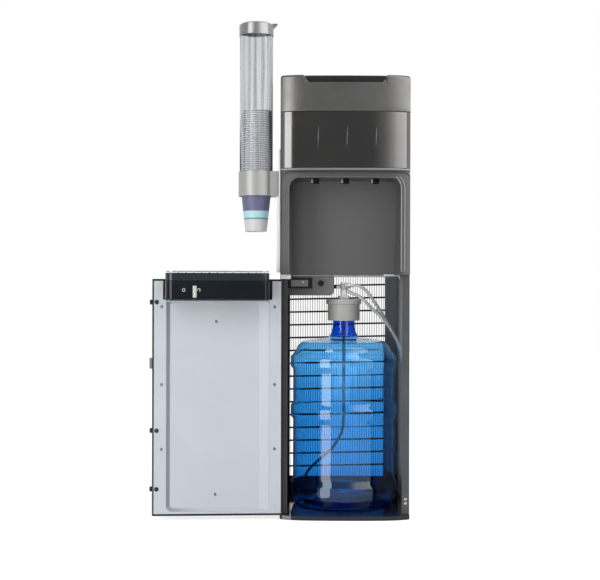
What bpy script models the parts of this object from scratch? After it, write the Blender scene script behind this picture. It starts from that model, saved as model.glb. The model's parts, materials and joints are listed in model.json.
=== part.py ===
"""A bottom-loading water cooler with its bottle, suction hose, drip tray door and cup dispenser.

Units are metres, +Z is up and the front faces -Y. The origin is the centre of the base's underside.
The door's pieces are drawn closed and then turned open about the hinge line.
"""

import math

import bmesh
import bpy
from mathutils import Matrix, Vector

# Sizes that every piece shares
SHEET = 0.0015
SEAT_GAP = 0.0003
OVERRUN = 0.012
WELD_DISTANCE = 0.000001
TURN_MERGE_DISTANCE = 0.00001
MOULDING_WALL = 0.0025
BASE_HEIGHT = 0.010
BASE_UPSTAND_HEIGHT = 0.037
BASE_UPSTAND_WALL = 0.003

# Bottle
BOTTLE_X = 0.003
BOTTLE_Y = -0.002
BOTTLE_WALL = 0.0022
BOTTLE_HOOP_RADIUS = 0.1335
BOTTLE_HOOP_PROUD = 0.0075
BOTTLE_BODY_RADIUS = BOTTLE_HOOP_RADIUS - BOTTLE_HOOP_PROUD
BOTTLE_HEEL = 0.0175
BOTTLE_CONTACT_RADIUS = BOTTLE_HOOP_RADIUS - BOTTLE_HEEL
BOTTLE_WAIST_DEPTH = 0.006
BOTTLE_WAIST_RADIUS = BOTTLE_BODY_RADIUS - BOTTLE_WAIST_DEPTH
BOTTLE_SHOULDER_DEPTH = 0.021
BOTTLE_SHOULDER_RADIUS = BOTTLE_BODY_RADIUS - BOTTLE_SHOULDER_DEPTH
BOTTLE_NECK_RADIUS = 0.0275
BOTTLE_THROAT_FLARE = 0.0115
BOTTLE_THROAT_RADIUS = BOTTLE_NECK_RADIUS + BOTTLE_THROAT_FLARE
BOTTLE_HEIGHT = 0.489
BOTTLE_NECK_LENGTH = 0.059
BOTTLE_NECK_Z = BOTTLE_HEIGHT - BOTTLE_NECK_LENGTH
BOTTLE_THROAT_HEIGHT = 0.016
BOTTLE_THROAT_Z = BOTTLE_NECK_Z - BOTTLE_THROAT_HEIGHT
BOTTLE_SHOULDER_RISE = 0.014
BOTTLE_SHOULDER_Z = BOTTLE_THROAT_Z - BOTTLE_SHOULDER_RISE
BOTTLE_HOOP_SHARES = (0.115, 0.5825, 0.895)
BOTTLE_HOOP_HEIGHTS = [share * BOTTLE_SHOULDER_Z for share in BOTTLE_HOOP_SHARES]
BOTTLE_HOOP_HALF = 0.012
BOTTLE_HOOP_SLOPE = 0.013
BOTTLE_PUSH_UP = 0.010
BOTTLE_STEPS = 28

# Probe on the bottle
COLLAR_THICKNESS = 0.0125
COLLAR_RADIUS = BOTTLE_NECK_RADIUS + COLLAR_THICKNESS
COLLAR_FLANGE_PROUD = 0.0045
COLLAR_FLANGE_RADIUS = COLLAR_RADIUS + COLLAR_FLANGE_PROUD
COLLAR_FLANGE = 0.0125
COLLAR_CAP = 0.024
COLLAR_TOP = BASE_HEIGHT + 2 * SEAT_GAP + BOTTLE_HEIGHT + COLLAR_CAP
COLLAR_SKIRT = 0.0295
COLLAR_WALL = 0.0025
COLLAR_CLEARANCE = 0.0004
ELBOW_RADIUS = 0.0085
ELBOW_BASE_RADIUS = 0.015
ELBOW_BASE_HEIGHT = 0.008
ELBOW_HEIGHT = 0.0424
ELBOW_TOP = COLLAR_TOP + ELBOW_HEIGHT
SPIGOT_RADIUS = 0.0038
SPIGOT_LENGTH = 0.018
DIP_TUBE_RADIUS = 0.0035
DIP_TUBE_CLEARANCE = 0.0004
DIP_TUBE_SPACING = 0.016
DIP_TUBE_SHARES = (
    (0.000, 0.838),
    (0.000, 0.592),
    (-0.008, 0.398),
    (-0.095, 0.331),
    (-0.246, 0.273),
    (-0.468, 0.224),
    (-0.690, 0.169),
    (-0.794, 0.116),
)
HOSE_RADIUS = 0.0040
HOSE_SPACING = 0.0145
HOSE_LEAD = 0.012
HOSE_ROUTE = (
    (0.062, -0.016, 0.541),
    (0.078, -0.040, 0.517),
    (0.095, -0.072, 0.487),
    (0.112, -0.104, 0.455),
    (0.128, -0.128, 0.422),
    (0.138, -0.1405, 0.396),
    (0.143, -0.136, 0.377),
    (0.145, -0.117, 0.367),
    (0.143, -0.097, 0.377),
    (0.136, -0.086, 0.406),
    (0.125, -0.078, 0.435),
    (0.108, -0.066, 0.462),
    (0.090, -0.050, 0.484),
    (0.074, -0.028, 0.499),
    (0.063, -0.008, 0.511),
    (0.054, 0.008, 0.522),
    (0.042, 0.016, 0.531),
    (0.026, 0.018, 0.538),
    (0.010, 0.0165, 0.5465),
)

# Whole cabinet
BAY_SIDE_ROOM = 0.0215
HALF_WIDTH = BOTTLE_HOOP_RADIUS + BAY_SIDE_ROOM
CASE_WIDTH = 2 * HALF_WIDTH
BAY_DEPTH_ROOM = 0.0465
BACK_Y = BOTTLE_HOOP_RADIUS + BAY_DEPTH_ROOM
FRONT_Y = -BACK_Y
CASE_DEPTH = 2 * BACK_Y
FRONT_BOW = 0.004
EDGE_BOW = 0.015
EDGE_BOW_POWER = 6
CORNER_RADIUS = 0.005

# Side panels
FRONT_FLANGE = 0.018
LEFT_REAR_FLANGE = 0.021
RIGHT_REAR_FLANGE = 0.034

# Deck, rear cover and top cover
COLLAR_HEADROOM = 0.0094
PUMP_HOUSING_HEIGHT = 0.048
DECK_UNDERSIDE = COLLAR_TOP + COLLAR_HEADROOM + PUMP_HOUSING_HEIGHT
DECK_THICKNESS = 0.002
DECK_TOP = DECK_UNDERSIDE + DECK_THICKNESS
REAR_COVER_SIDE_CLEARANCE = 0.0005
LOUVRE_ROWS = 9
LOUVRE_HEIGHT = 0.006
LOUVRE_BORDER = 0.065
LOUVRE_WIDTH = HALF_WIDTH - LOUVRE_BORDER
LOUVRE_PITCH = 0.022
LOUVRE_COLUMN_SHARE = 0.6
LOUVRE_COLUMN_X = LOUVRE_COLUMN_SHARE * LOUVRE_WIDTH
LOUVRE_RISE = 0.137
LOUVRE_FIRST_Z = DECK_TOP + LOUVRE_RISE

# Front frame with the dispensing niche
FRAME_BOTTOM = DECK_TOP + SEAT_GAP
NICHE_CHEEK = 0.021
NICHE_HALF_WIDTH = HALF_WIDTH - NICHE_CHEEK
NICHE_HEIGHT = 0.2302
NICHE_TOP = FRAME_BOTTOM + NICHE_HEIGHT
NICHE_CORNER_RADIUS = 0.024
NICHE_TOP_DEPTH = 0.100
NICHE_BOTTOM_DEPTH = 0.119
NICHE_TOP_TAPER = 0.002
NICHE_BOTTOM_TAPER = 0.011
DECK_FRONT_MARGIN = 0.001
DECK_FRONT_Y = FRONT_Y + NICHE_BOTTOM_DEPTH + DECK_FRONT_MARGIN
NICHE_WALL = 0.0025
LIP_HEIGHT = 0.0085
LIP_GROOVE_BOTTOM = NICHE_TOP + LIP_HEIGHT
LIP_GROOVE_HEIGHT = 0.007
LIP_GROOVE_TOP = LIP_GROOVE_BOTTOM + LIP_GROOVE_HEIGHT
LIP_GROOVE_DEPTH = 0.0015
DISPLAY_LEDGE = 0.007
DISPLAY_BOTTOM = LIP_GROOVE_TOP + DISPLAY_LEDGE
DISPLAY_HEIGHT = 0.134
FRAME_TOP = DISPLAY_BOTTOM + DISPLAY_HEIGHT
DISPLAY_CHEEK = 0.009
DISPLAY_HALF_WIDTH = HALF_WIDTH - DISPLAY_CHEEK
DISPLAY_THICKNESS = 0.0040
FRAME_SKIN = 0.006

# Nozzles
NOZZLE_SPACING = 0.0715
NOZZLE_SETBACK = 0.032
NOZZLE_RADIUS = 0.0095
NOZZLE_TIP_RADIUS = 0.0085
NOZZLE_DROP = 0.0155
NOZZLE_NECK_RADIUS = 0.0055
NOZZLE_NECK_LENGTH = 0.018
NOZZLE_BORE_RADIUS = 0.0030
NOZZLE_CLEARANCE = 0.0003

# Fascia, bezel and buttons
FASCIA_HEIGHT = 0.0875
CASE_HEIGHT = FRAME_TOP + FASCIA_HEIGHT
TOP_COVER_HEIGHT = 0.0117
FASCIA_SLOPE = 0.0175
HOOD_DEPTH = 0.055
HOOD_UNDERSIDE = CASE_HEIGHT - TOP_COVER_HEIGHT
BEZEL_HALF_WIDTH = 0.095
BEZEL_LENGTH = 0.020
BEZEL_DEPTH = 0.007
BEZEL_RIM = 0.002
BUTTON_BAR = 0.0025
BUTTON_THICKNESS = 0.005
BUTTON_PROUD = 0.0008
BUTTON_CLEARANCE = 0.0003

# Door
DOOR_FOOT_GAP = 0.0005
DOOR_BOTTOM = BASE_HEIGHT + DOOR_FOOT_GAP
DOOR_HEAD_GAP = 0.0093
DOOR_TOP = DECK_UNDERSIDE - DOOR_HEAD_GAP
DOOR_HEIGHT = DOOR_TOP - DOOR_BOTTOM
DOOR_THICKNESS = 0.030
DOOR_BACK_RADIUS = 0.003
DOOR_WALL = 0.004
DOOR_SKIN = 0.003
DOOR_OPEN_ANGLE = math.radians(177)
HINGE_INSET = 0.0035
HINGE_X = HINGE_INSET - HALF_WIDTH
HINGE_SETBACK = 0.022
HINGE_PIN_RADIUS = 0.002
HINGE_PIN_LENGTH = 0.009
HINGE_PLATE_THICKNESS = 0.002
HINGE_PLATE_REACH = 0.024
HINGE_LIP_HEIGHT = 0.0105
HINGE_LIP_THICKNESS = 0.0015
HINGE_CLEARANCE = 0.0004
LINER_THICKNESS = 0.0115
LINER_TURN_INSET = 0.009
LINER_TURN_X = HALF_WIDTH - LINER_TURN_INSET
RECESS_DEPTH = 0.007
RECESS_LEFT_BORDER = 0.033
RECESS_LEFT_X = RECESS_LEFT_BORDER - HALF_WIDTH
RECESS_RIGHT_BORDER = 0.034
RECESS_RIGHT_X = HALF_WIDTH - RECESS_RIGHT_BORDER
RECESS_BOTTOM_BORDER = 0.0105
RECESS_BOTTOM = DOOR_BOTTOM + RECESS_BOTTOM_BORDER
RECESS_CORNER = 0.012
TRAY_NOTCH_BORDER = 0.026
TRAY_NOTCH_HALF_WIDTH = HALF_WIDTH - TRAY_NOTCH_BORDER
BUMPER_RADIUS = 0.0065
BUMPER_LENGTH = 0.005
BUMPER_SHARES = {"upper": 0.902, "middle": 0.360, "lower": 0.113}
STRIKE_WIDTH = 0.006
STRIKE_LENGTH = 0.010
STRIKE_HEIGHT = 0.026
STRIKE_SHARE = 0.644
STRIKE_Z = DOOR_BOTTOM + STRIKE_SHARE * DOOR_HEIGHT

# Drip tray on the door
CRADLE_DROP = 0.0047
CRADLE_TOP = DOOR_TOP - CRADLE_DROP
CRADLE_HEIGHT = 0.042
CRADLE_BOTTOM = CRADLE_TOP - CRADLE_HEIGHT
CRADLE_FOOT_GAP = 0.002
LINER_STEP_TOP = CRADLE_BOTTOM - CRADLE_FOOT_GAP
CRADLE_REACH = 0.078
CRADLE_SIDE_ROOM = 0.0085
CRADLE_HALF_WIDTH = TRAY_NOTCH_HALF_WIDTH - CRADLE_SIDE_ROOM
CRADLE_CORNER = 0.020
CRADLE_WALL = 0.003
CRADLE_FLOOR = 0.015
TRAY_WALL = 0.002
TRAY_PROUD = 0.021
TRAY_RIM_TOP = CRADLE_TOP + TRAY_PROUD
TRAY_CLEARANCE = 0.0005
GRILLE_THICKNESS = 0.0016
GRILLE_SLOT_WIDTH = 0.004
GRILLE_SLOT_LENGTH = 0.048
GRILLE_SLOT_PITCH = 0.0098
GRILLE_BORDER = 0.0165
GRILLE_SLOTS = int(2 * (CRADLE_HALF_WIDTH - GRILLE_BORDER) / GRILLE_SLOT_PITCH)

# Pump housing with the door switch
PUMP_HOUSING_SIDE_GAP = 0.006
PUMP_HOUSING_LEFT = PUMP_HOUSING_SIDE_GAP - HALF_WIDTH
PUMP_HOUSING_WIDTH = 0.125
PUMP_HOUSING_RIGHT = PUMP_HOUSING_LEFT + PUMP_HOUSING_WIDTH
PUMP_HOUSING_BOTTOM = DECK_UNDERSIDE - PUMP_HOUSING_HEIGHT
PUMP_HOUSING_PROUD = 0.003
PUMP_HOUSING_FRONT_Y = DECK_FRONT_Y - PUMP_HOUSING_PROUD
PUMP_HOUSING_DEPTH = 0.100
PUMP_HOUSING_CHAMFER = 0.010
SWITCH_INSET = 0.0405
SWITCH_CENTRE_X = PUMP_HOUSING_LEFT + SWITCH_INSET
SWITCH_DROP = 0.018
SWITCH_CENTRE_Z = DECK_UNDERSIDE - SWITCH_DROP
SWITCH_WIDTH = 0.062
SWITCH_HEIGHT = 0.026
SWITCH_DEPTH = 0.004
SWITCH_RIM = 0.005
PADDLE_TRAVEL = 0.002
PADDLE_CLEARANCE = 0.0004
RESET_SPACING = 0.053
RESET_CENTRE_X = SWITCH_CENTRE_X + RESET_SPACING
RESET_RADIUS = 0.0065
RESET_LENGTH = 0.008
PUMP_RADIUS = 0.018
PUMP_LENGTH = 0.070
PUMP_SETBACK = 0.075
PUMP_Y = PUMP_HOUSING_FRONT_Y + PUMP_SETBACK
PUMP_SPIGOT_OUT = 0.009

# Inside the upper housing
TANK_SHELF_HEIGHT = 0.217
TANK_SHELF_TOP = DECK_TOP + TANK_SHELF_HEIGHT
TANK_SHELF_SIDE_ROOM = 0.010
TANK_SHELF_HALF_WIDTH = HALF_WIDTH - TANK_SHELF_SIDE_ROOM
TANK_SHELF_SETBACK = 0.015
TANK_SHELF_FRONT_Y = DECK_FRONT_Y + TANK_SHELF_SETBACK
TANK_SHELF_REAR_ROOM = 0.030
TANK_SHELF_BACK_Y = BACK_Y - TANK_SHELF_REAR_ROOM
TANK_PORT_RADIUS = 0.004
TANK_PORT_LENGTH = 0.012
TANK_SHOULDER = 0.012
COLD_TANK_RADIUS = 0.058
COLD_TANK_HEIGHT = 0.150
COLD_TANK_INSET = 0.075
COLD_TANK_X = TANK_SHELF_HALF_WIDTH - COLD_TANK_INSET
COLD_TANK_SETBACK = 0.085
COLD_TANK_Y = TANK_SHELF_FRONT_Y + COLD_TANK_SETBACK
HOT_TANK_RADIUS = 0.042
HOT_TANK_HEIGHT = 0.140
HOT_TANK_INSET = 0.070
HOT_TANK_X = HOT_TANK_INSET - TANK_SHELF_HALF_WIDTH
HOT_TANK_SETBACK = 0.075
HOT_TANK_Y = TANK_SHELF_FRONT_Y + HOT_TANK_SETBACK
COMPRESSOR_RADIUS = 0.062
COMPRESSOR_HEIGHT = 0.120
COMPRESSOR_INSET = 0.090
COMPRESSOR_X = COMPRESSOR_INSET - TANK_SHELF_HALF_WIDTH
COMPRESSOR_REAR_ROOM = 0.065
COMPRESSOR_Y = TANK_SHELF_BACK_Y - COMPRESSOR_REAR_ROOM
COMPRESSOR_FOOT = 0.012
VALVE_SIZE = 0.020
VALVE_HEIGHT = 0.030
VALVE_STUB_RADIUS = 0.004
BOARD_SIDE_ROOM = 0.010
BOARD_WIDTH = CASE_WIDTH - 2 * BOARD_SIDE_ROOM
BOARD_HEIGHT = 0.060
BOARD_THICKNESS = 0.0016
BOARD_RISE = 0.005
BOARD_Z = FRAME_TOP + BOARD_RISE

# Condenser
COIL_PITCH = 0.0346
COIL_RISE_ABOVE_DECK = 0.0108
COIL_TOP_Z = DECK_TOP + COIL_RISE_ABOVE_DECK
COIL_PASSES = 1 + int((COIL_TOP_Z - BASE_HEIGHT) / COIL_PITCH)
COIL_SIDE_ROOM = 0.021
COIL_HALF_LENGTH = HALF_WIDTH - COIL_SIDE_ROOM
COIL_RISE = 0.006
COIL_TUBE_RADIUS = 0.0024
COIL_BEND_STEPS = 6
COIL_SAMPLE = 0.005
COMB_PITCH = 0.0064
COMB_SIDE_REACH = 0.0105
COMB_WIRES = 1 + int(2 * (COIL_HALF_LENGTH + COMB_SIDE_REACH) / COMB_PITCH)
COMB_WIRE = 0.0014
COMB_RAIL = 0.0020
COMB_RAILS = 2
COMB_OVERHANG = 0.012
BRACKET_WIDTH = 0.012
BRACKET_THICKNESS = 0.0012
BRACKET_INSET = 0.010
BRACKET_X = HALF_WIDTH - BRACKET_INSET

# Rear switches, inlet and drain
SWITCH_PLATE_WIDTH = 0.060
SWITCH_PLATE_HEIGHT = 0.045
SWITCH_PLATE_DEPTH = 0.0030
SWITCH_PLATE_INSET = 0.036
SWITCH_PLATE_X = HALF_WIDTH - RIGHT_REAR_FLANGE - SWITCH_PLATE_INSET
REAR_FITTING_RISE = 0.057
SWITCH_PLATE_Z = DECK_TOP + REAR_FITTING_RISE
ROCKER_WIDTH = 0.016
ROCKER_HEIGHT = 0.024
ROCKER_DEPTH = 0.010
ROCKER_SPACING = 0.026
ROCKER_CLEARANCE = 0.0008
ROCKER_TILT = math.radians(6)
INLET_RADIUS = 0.009
INLET_LENGTH = 0.014
INLET_BORE_RADIUS = 0.0035
INLET_INSET = 0.044
INLET_X = LEFT_REAR_FLANGE + INLET_INSET - HALF_WIDTH
INLET_Z = SWITCH_PLATE_Z
DRAIN_RADIUS = 0.012
DRAIN_LENGTH = 0.012
DRAIN_X = 0.000
DRAIN_Z = SWITCH_PLATE_Z
NECK_SHARE = 0.7

# Cup dispenser on the left side
CUP_HEIGHT = 0.095
CUP_TOP_RADIUS = 0.036
CUP_TAPER = 0.010
CUP_BOTTOM_RADIUS = CUP_TOP_RADIUS - CUP_TAPER
CUP_RIM_PROUD = 0.002
CUP_RIM_RADIUS = CUP_TOP_RADIUS + CUP_RIM_PROUD
DISPENSER_SETBACK = 0.060
DISPENSER_Y = FRONT_Y + DISPENSER_SETBACK
TUBE_WALL = 0.0015
TUBE_ROOM = 0.0005
TUBE_RADIUS = CUP_RIM_RADIUS + TUBE_WALL + TUBE_ROOM
HOLDER_DROP = 0.0415
HOLDER_BOTTOM = NICHE_TOP - HOLDER_DROP
HOLDER_HEIGHT = 0.0595
HOLDER_TOP = HOLDER_BOTTOM + HOLDER_HEIGHT
TUBE_SEAT_RISE = 0.028
TUBE_BOTTOM = HOLDER_BOTTOM + TUBE_SEAT_RISE
TUBE_HEIGHT = 0.370
TUBE_TOP = TUBE_BOTTOM + TUBE_HEIGHT
DISPENSER_STANDOFF = 0.0195
DISPENSER_OFFSET = TUBE_RADIUS + DISPENSER_STANDOFF
HOLDER_WALL = 0.0025
HOLDER_RADIUS = TUBE_RADIUS + HOLDER_WALL
HOLDER_BORE_ROOM = 0.0008
HOLDER_BORE_RADIUS = CUP_RIM_RADIUS + HOLDER_BORE_ROOM
HOLDER_BLOCK_DEPTH = 0.050
RAIL_DROP = 0.183
RAIL_BOTTOM = HOLDER_BOTTOM - RAIL_DROP
RAIL_RISE = 0.0535
RAIL_TOP = HOLDER_TOP + RAIL_RISE
RAIL_WIDTH = 0.046
RAIL_THIN = 0.005
RAIL_THICK = 0.009
LID_PROUD = 0.0015
LID_RADIUS = TUBE_RADIUS + LID_PROUD
LID_LAP = 0.011
LID_BOTTOM = TUBE_TOP - LID_LAP
LID_RISE = 0.020
LID_TOP = TUBE_TOP + LID_RISE
LID_DOME = 0.005
LID_WALL = 0.0012
LID_TAB_WIDTH = 0.018
LID_TAB_REACH = 0.010
LID_TAB_HEIGHT = 0.010
CUP_RIM_HEIGHT = 0.003
CUP_WALL = 0.0003
CUP_PITCH = 0.0053
CUP_FIRST_RISE = 0.0105
CUP_FIRST_RIM_Z = HOLDER_BOTTOM + CUP_FIRST_RISE
CUP_STACK_COUNT = 37
CUP_STEPS = 16

# Places that follow from the sizes above
BODY_FRONT_Y = FRONT_Y + DOOR_THICKNESS + SEAT_GAP
PANEL_TOP = HOOD_UNDERSIDE - SEAT_GAP
HOOD_BACK_Y = FRONT_Y + HOOD_DEPTH
REAR_INSIDE_Y = BACK_Y - SHEET - SEAT_GAP
HINGE_Y = FRONT_Y + HINGE_SETBACK
LINER_INNER_Y = FRONT_Y + DOOR_THICKNESS
SLOPE_ANGLE = math.radians(45)
TRAY_FLOOR_Z = CRADLE_BOTTOM + CRADLE_FLOOR

MODEL = bpy.data.collections.new("water_cooler")
CUTTERS = bpy.data.collections.new("cutters")


def clear_scene():
    """Removes every object of the scene."""
    for item in list(bpy.data.objects):
        bpy.data.objects.remove(item, do_unlink=True)


def make_collections():
    """Links the model's collection and the hidden one for cutters."""
    CUTTERS.hide_render = True
    for group in (MODEL, CUTTERS):
        bpy.context.scene.collection.children.link(group)


def material(name, colour, roughness, metallic=0.0, alpha=1.0):
    """A Principled material of one finish."""
    finish = bpy.data.materials.new(name)
    finish.use_nodes = True
    shader = finish.node_tree.nodes["Principled BSDF"]
    shader.inputs["Base Color"].default_value = (*colour, 1.0)
    shader.inputs["Roughness"].default_value = roughness
    shader.inputs["Metallic"].default_value = metallic
    shader.inputs["Alpha"].default_value = alpha
    finish.diffuse_color = (*colour, alpha)
    return finish


def add(name, mesh, centre=(0, 0, 0), finish=None):
    """Puts a mesh in the model as a named sub-part, or among the cutters where it has no finish."""
    item = bpy.data.objects.new(name, mesh)
    item.location = centre
    if finish is None:
        item.hide_render = True
        item.display_type = "WIRE"
        CUTTERS.objects.link(item)
    else:
        mesh.materials.append(finish)
        MODEL.objects.link(item)
    return item


def mesh_from(form, name):
    mesh = bpy.data.meshes.new(name)
    form.to_mesh(mesh)
    form.free()
    return mesh


def box(name, low, high, finish=None):
    """A box between two corners."""
    low, high = Vector(low), Vector(high)
    form = bmesh.new()
    bmesh.ops.create_cube(form, size=1)
    bmesh.ops.scale(form, vec=high - low, verts=form.verts)
    return add(name, mesh_from(form, name), (low + high) / 2, finish)


def cylinder(name, radius, low, high, finish=None, top_radius=None, steps=24):
    """A cylinder or cone from one point on its axis to another."""
    low, high = Vector(low), Vector(high)
    form = bmesh.new()
    bmesh.ops.create_cone(
        form,
        cap_ends=True,
        segments=steps,
        radius1=radius,
        radius2=radius if top_radius is None else top_radius,
        depth=(high - low).length,
    )
    turn = (high - low).to_track_quat("Z", "Y").to_matrix()
    bmesh.ops.rotate(form, cent=(0, 0, 0), matrix=turn, verts=form.verts)
    item = add(name, mesh_from(form, name), (low + high) / 2, finish)
    smooth(item)
    return item


def smooth(item, angle=math.radians(35)):
    item.data.shade_smooth()
    item.data.set_sharp_from_angle(angle=angle)


def turned(name, profile, centre, finish=None, steps=24):
    """A solid of revolution about the vertical through a centre, from a profile of (radius, z)."""
    form = bmesh.new()
    points = [form.verts.new((radius, 0, z - centre[2])) for radius, z in profile]
    for first, second in zip(points, points[1:]):
        form.edges.new((first, second))
    closed_profile = profile[0][0] > 0 and profile[-1][0] > 0
    if closed_profile:
        form.edges.new((points[-1], points[0]))
    item = add(name, mesh_from(form, name), centre, finish)
    screw = item.modifiers.new("turn", "SCREW")
    screw.steps = screw.render_steps = steps
    screw.use_merge_vertices = True
    screw.merge_threshold = TURN_MERGE_DISTANCE
    screw.use_smooth_shade = True
    return item


def evaluated_mesh(item):
    """The mesh that an object shows, with its modifiers or its curve's tube, welded."""
    bpy.context.view_layer.update()
    graph = bpy.context.evaluated_depsgraph_get()
    mesh = bpy.data.meshes.new_from_object(item.evaluated_get(graph))
    form = bmesh.new()
    form.from_mesh(mesh)
    bmesh.ops.remove_doubles(form, verts=form.verts, dist=WELD_DISTANCE)
    bmesh.ops.recalc_face_normals(form, faces=form.faces)
    form.to_mesh(mesh)
    form.free()
    return mesh


def curve_object(name, curve):
    guide = bpy.data.objects.new(name + "_guide", curve)
    MODEL.objects.link(guide)
    return guide


def plate(name, outline, low, high, finish=None, holes=(), across="Z"):
    """A flat outline with holes, extruded between two places along Z, or along Y for an upright one."""
    curve = bpy.data.curves.new(name, "CURVE")
    curve.dimensions = "2D"
    curve.fill_mode = "BOTH"
    curve.extrude = (high - low) / 2
    for loop in (outline, *holes):
        spline = curve.splines.new("POLY")
        spline.points.add(len(loop) - 1)
        for point, (u, v) in zip(spline.points, loop):
            point.co = (u, v, 0, 1)
        spline.use_cyclic_u = True
    guide = curve_object(name, curve)
    mesh = evaluated_mesh(guide)
    bpy.data.objects.remove(guide)
    middle = (low + high) / 2
    if across == "Y":
        mesh.transform(Matrix.Rotation(math.pi / 2, 4, "X"))
        return add(name, mesh, (0, middle, 0), finish)
    return add(name, mesh, (0, 0, middle), finish)


def tube(name, points, radius, finish, sides=2):
    """A solid round rod along a line of points."""
    curve = bpy.data.curves.new(name, "CURVE")
    curve.dimensions = "3D"
    curve.bevel_depth = radius
    curve.bevel_resolution = sides
    curve.use_fill_caps = True
    spline = curve.splines.new("POLY")
    spline.points.add(len(points) - 1)
    for target, place in zip(spline.points, points):
        target.co = (*place, 1)
    guide = curve_object(name, curve)
    mesh = evaluated_mesh(guide)
    bpy.data.objects.remove(guide)
    item = add(name, mesh, (0, 0, 0), finish)
    smooth(item, math.radians(50))
    return item


def combine(item, tool, operation):
    """Adds a Boolean with a tool that stays with its piece."""
    tool.parent = item
    tool.matrix_parent_inverse = item.matrix_basis.inverted()
    change = item.modifiers.new(tool.name, "BOOLEAN")
    change.operation = operation
    change.solver = "EXACT"
    change.object = tool


def cut(item, *tools):
    for tool in tools:
        combine(item, tool, "DIFFERENCE")


def join(item, *tools):
    for tool in tools:
        combine(item, tool, "UNION")


def carry(child, parent):
    """Parents a piece to the body that carries it, where it stands."""
    child.parent = parent
    child.matrix_parent_inverse = parent.matrix_basis.inverted()


def pivot(name, place):
    """An empty on a joint's line."""
    item = bpy.data.objects.new(name, None)
    item.location = place
    MODEL.objects.link(item)
    return item


def arc(centre, radius, start, end, steps):
    """Points of an arc in the plane, in degrees from +u."""
    points = []
    for step in range(steps + 1):
        angle = math.radians(start + (end - start) * step / steps)
        points.append((centre[0] + radius * math.cos(angle), centre[1] + radius * math.sin(angle)))
    return points


def ring(centre, radius, steps=24):
    """Points of a whole circle."""
    return arc(centre, radius, 0, 360, steps)[:-1]


def rounded_rectangle(low, high, radii, steps=4):
    """A rectangle whose corners, from the lower left one anticlockwise, have the given radii."""
    corners = [(low[0], low[1]), (high[0], low[1]), (high[0], high[1]), (low[0], high[1])]
    inward = [(1, 1), (-1, 1), (-1, -1), (1, -1)]
    starts = [180, 270, 0, 90]
    points = []
    for corner, side, start, radius in zip(corners, inward, starts, radii):
        if radius == 0:
            points.append(corner)
            continue
        centre = (corner[0] + side[0] * radius, corner[1] + side[1] * radius)
        points += arc(centre, radius, start, start + 90, steps)
    return points


def front_line(x):
    """The y of the bowed front, which turns back more and more towards the cabinet's edges."""
    share = abs(x) / HALF_WIDTH
    return FRONT_Y + FRONT_BOW * share**2 + EDGE_BOW * share**EDGE_BOW_POWER


def front_slope(x):
    """The angle by which the front has turned back, in degrees."""
    share = abs(x) / HALF_WIDTH
    rise = 2 * FRONT_BOW * share + EDGE_BOW_POWER * EDGE_BOW * share ** (EDGE_BOW_POWER - 1)
    return math.degrees(math.atan(rise / HALF_WIDTH))


def bowed_line(half_width, inset, steps=14):
    """Points along the front from left to right, closer together towards the edges."""
    points = []
    for step in range(steps + 1):
        x = half_width * math.sin(math.pi * (step / steps - 1 / 2))
        points.append((x, front_line(x) + inset))
    return points


def bowed_outline(half_width, inset, back_y, corner=CORNER_RADIUS):
    """A plan outline with a straight back and the cabinet's bowed front, moved back by an inset."""
    radius = max(corner - inset, corner / 3)
    angle = front_slope(half_width - radius)
    inner = half_width - radius * (1 - math.sin(math.radians(angle)))
    centre_x = half_width - radius
    centre_y = front_line(inner) + inset + radius * math.cos(math.radians(angle))
    points = [(half_width, back_y), (-half_width, back_y)]
    points += arc((-centre_x, centre_y), radius, 180, 270 - angle, 3)
    points += bowed_line(inner, inset)[1:-1]
    points += arc((centre_x, centre_y), radius, 270 + angle, 360, 3)
    return points


def bowed_band(half_width, near, far):
    """A plan outline of a sheet that follows the bowed front between two insets."""
    return bowed_line(half_width, near) + bowed_line(half_width, far)[::-1]


def spanning(width, low, high):
    """The two corners of a box that is centred on the middle plane, from (y, z) pairs."""
    return (-width / 2, *low), (width / 2, *high)


def make_base(black):
    """The base, with an upstand across the back between the side panels."""
    base = plate("base_tray", bowed_outline(HALF_WIDTH, 0, BACK_Y), 0, BASE_HEIGHT, black)
    upstand = box(
        "base_upstand",
        *spanning(
            CASE_WIDTH - 2 * (SHEET + SEAT_GAP),
            (REAR_INSIDE_Y - BASE_UPSTAND_WALL, BASE_HEIGHT / 2),
            (REAR_INSIDE_Y, BASE_HEIGHT + BASE_UPSTAND_HEIGHT),
        ),
    )
    join(base, upstand)
    socket_bottom = BASE_HEIGHT - HINGE_PIN_LENGTH
    hole = cylinder(
        "base_pin_hole",
        HINGE_PIN_RADIUS + SEAT_GAP,
        (HINGE_X, HINGE_Y, socket_bottom),
        (HINGE_X, HINGE_Y, BASE_HEIGHT + OVERRUN),
    )
    cut(base, hole)


def side_outline(side, rear_flange):
    """A sheet panel in plan, with a flange turned in at its front and at its rear."""
    outer = side * HALF_WIDTH
    inner = side * (HALF_WIDTH - SHEET)
    front = side * (HALF_WIDTH - FRONT_FLANGE)
    rear = side * (HALF_WIDTH - rear_flange)
    return [
        (outer, BODY_FRONT_Y),
        (outer, BACK_Y),
        (rear, BACK_Y),
        (rear, BACK_Y - SHEET),
        (inner, BACK_Y - SHEET),
        (inner, BODY_FRONT_Y + SHEET),
        (front, BODY_FRONT_Y + SHEET),
        (front, BODY_FRONT_Y),
    ]


def make_side_panels(black):
    bottom = BASE_HEIGHT + SEAT_GAP
    plate("left_side_panel", side_outline(-1, LEFT_REAR_FLANGE), bottom, PANEL_TOP, black)
    plate("right_side_panel", side_outline(1, RIGHT_REAR_FLANGE), bottom, PANEL_TOP, black)


def make_deck(steel):
    half = HALF_WIDTH - SHEET - SEAT_GAP
    outline = rounded_rectangle((-half, DECK_FRONT_Y), (half, REAR_INSIDE_Y), (0, 0, 0, 0))
    plate("deck_plate", outline, DECK_UNDERSIDE, DECK_TOP, steel)


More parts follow.
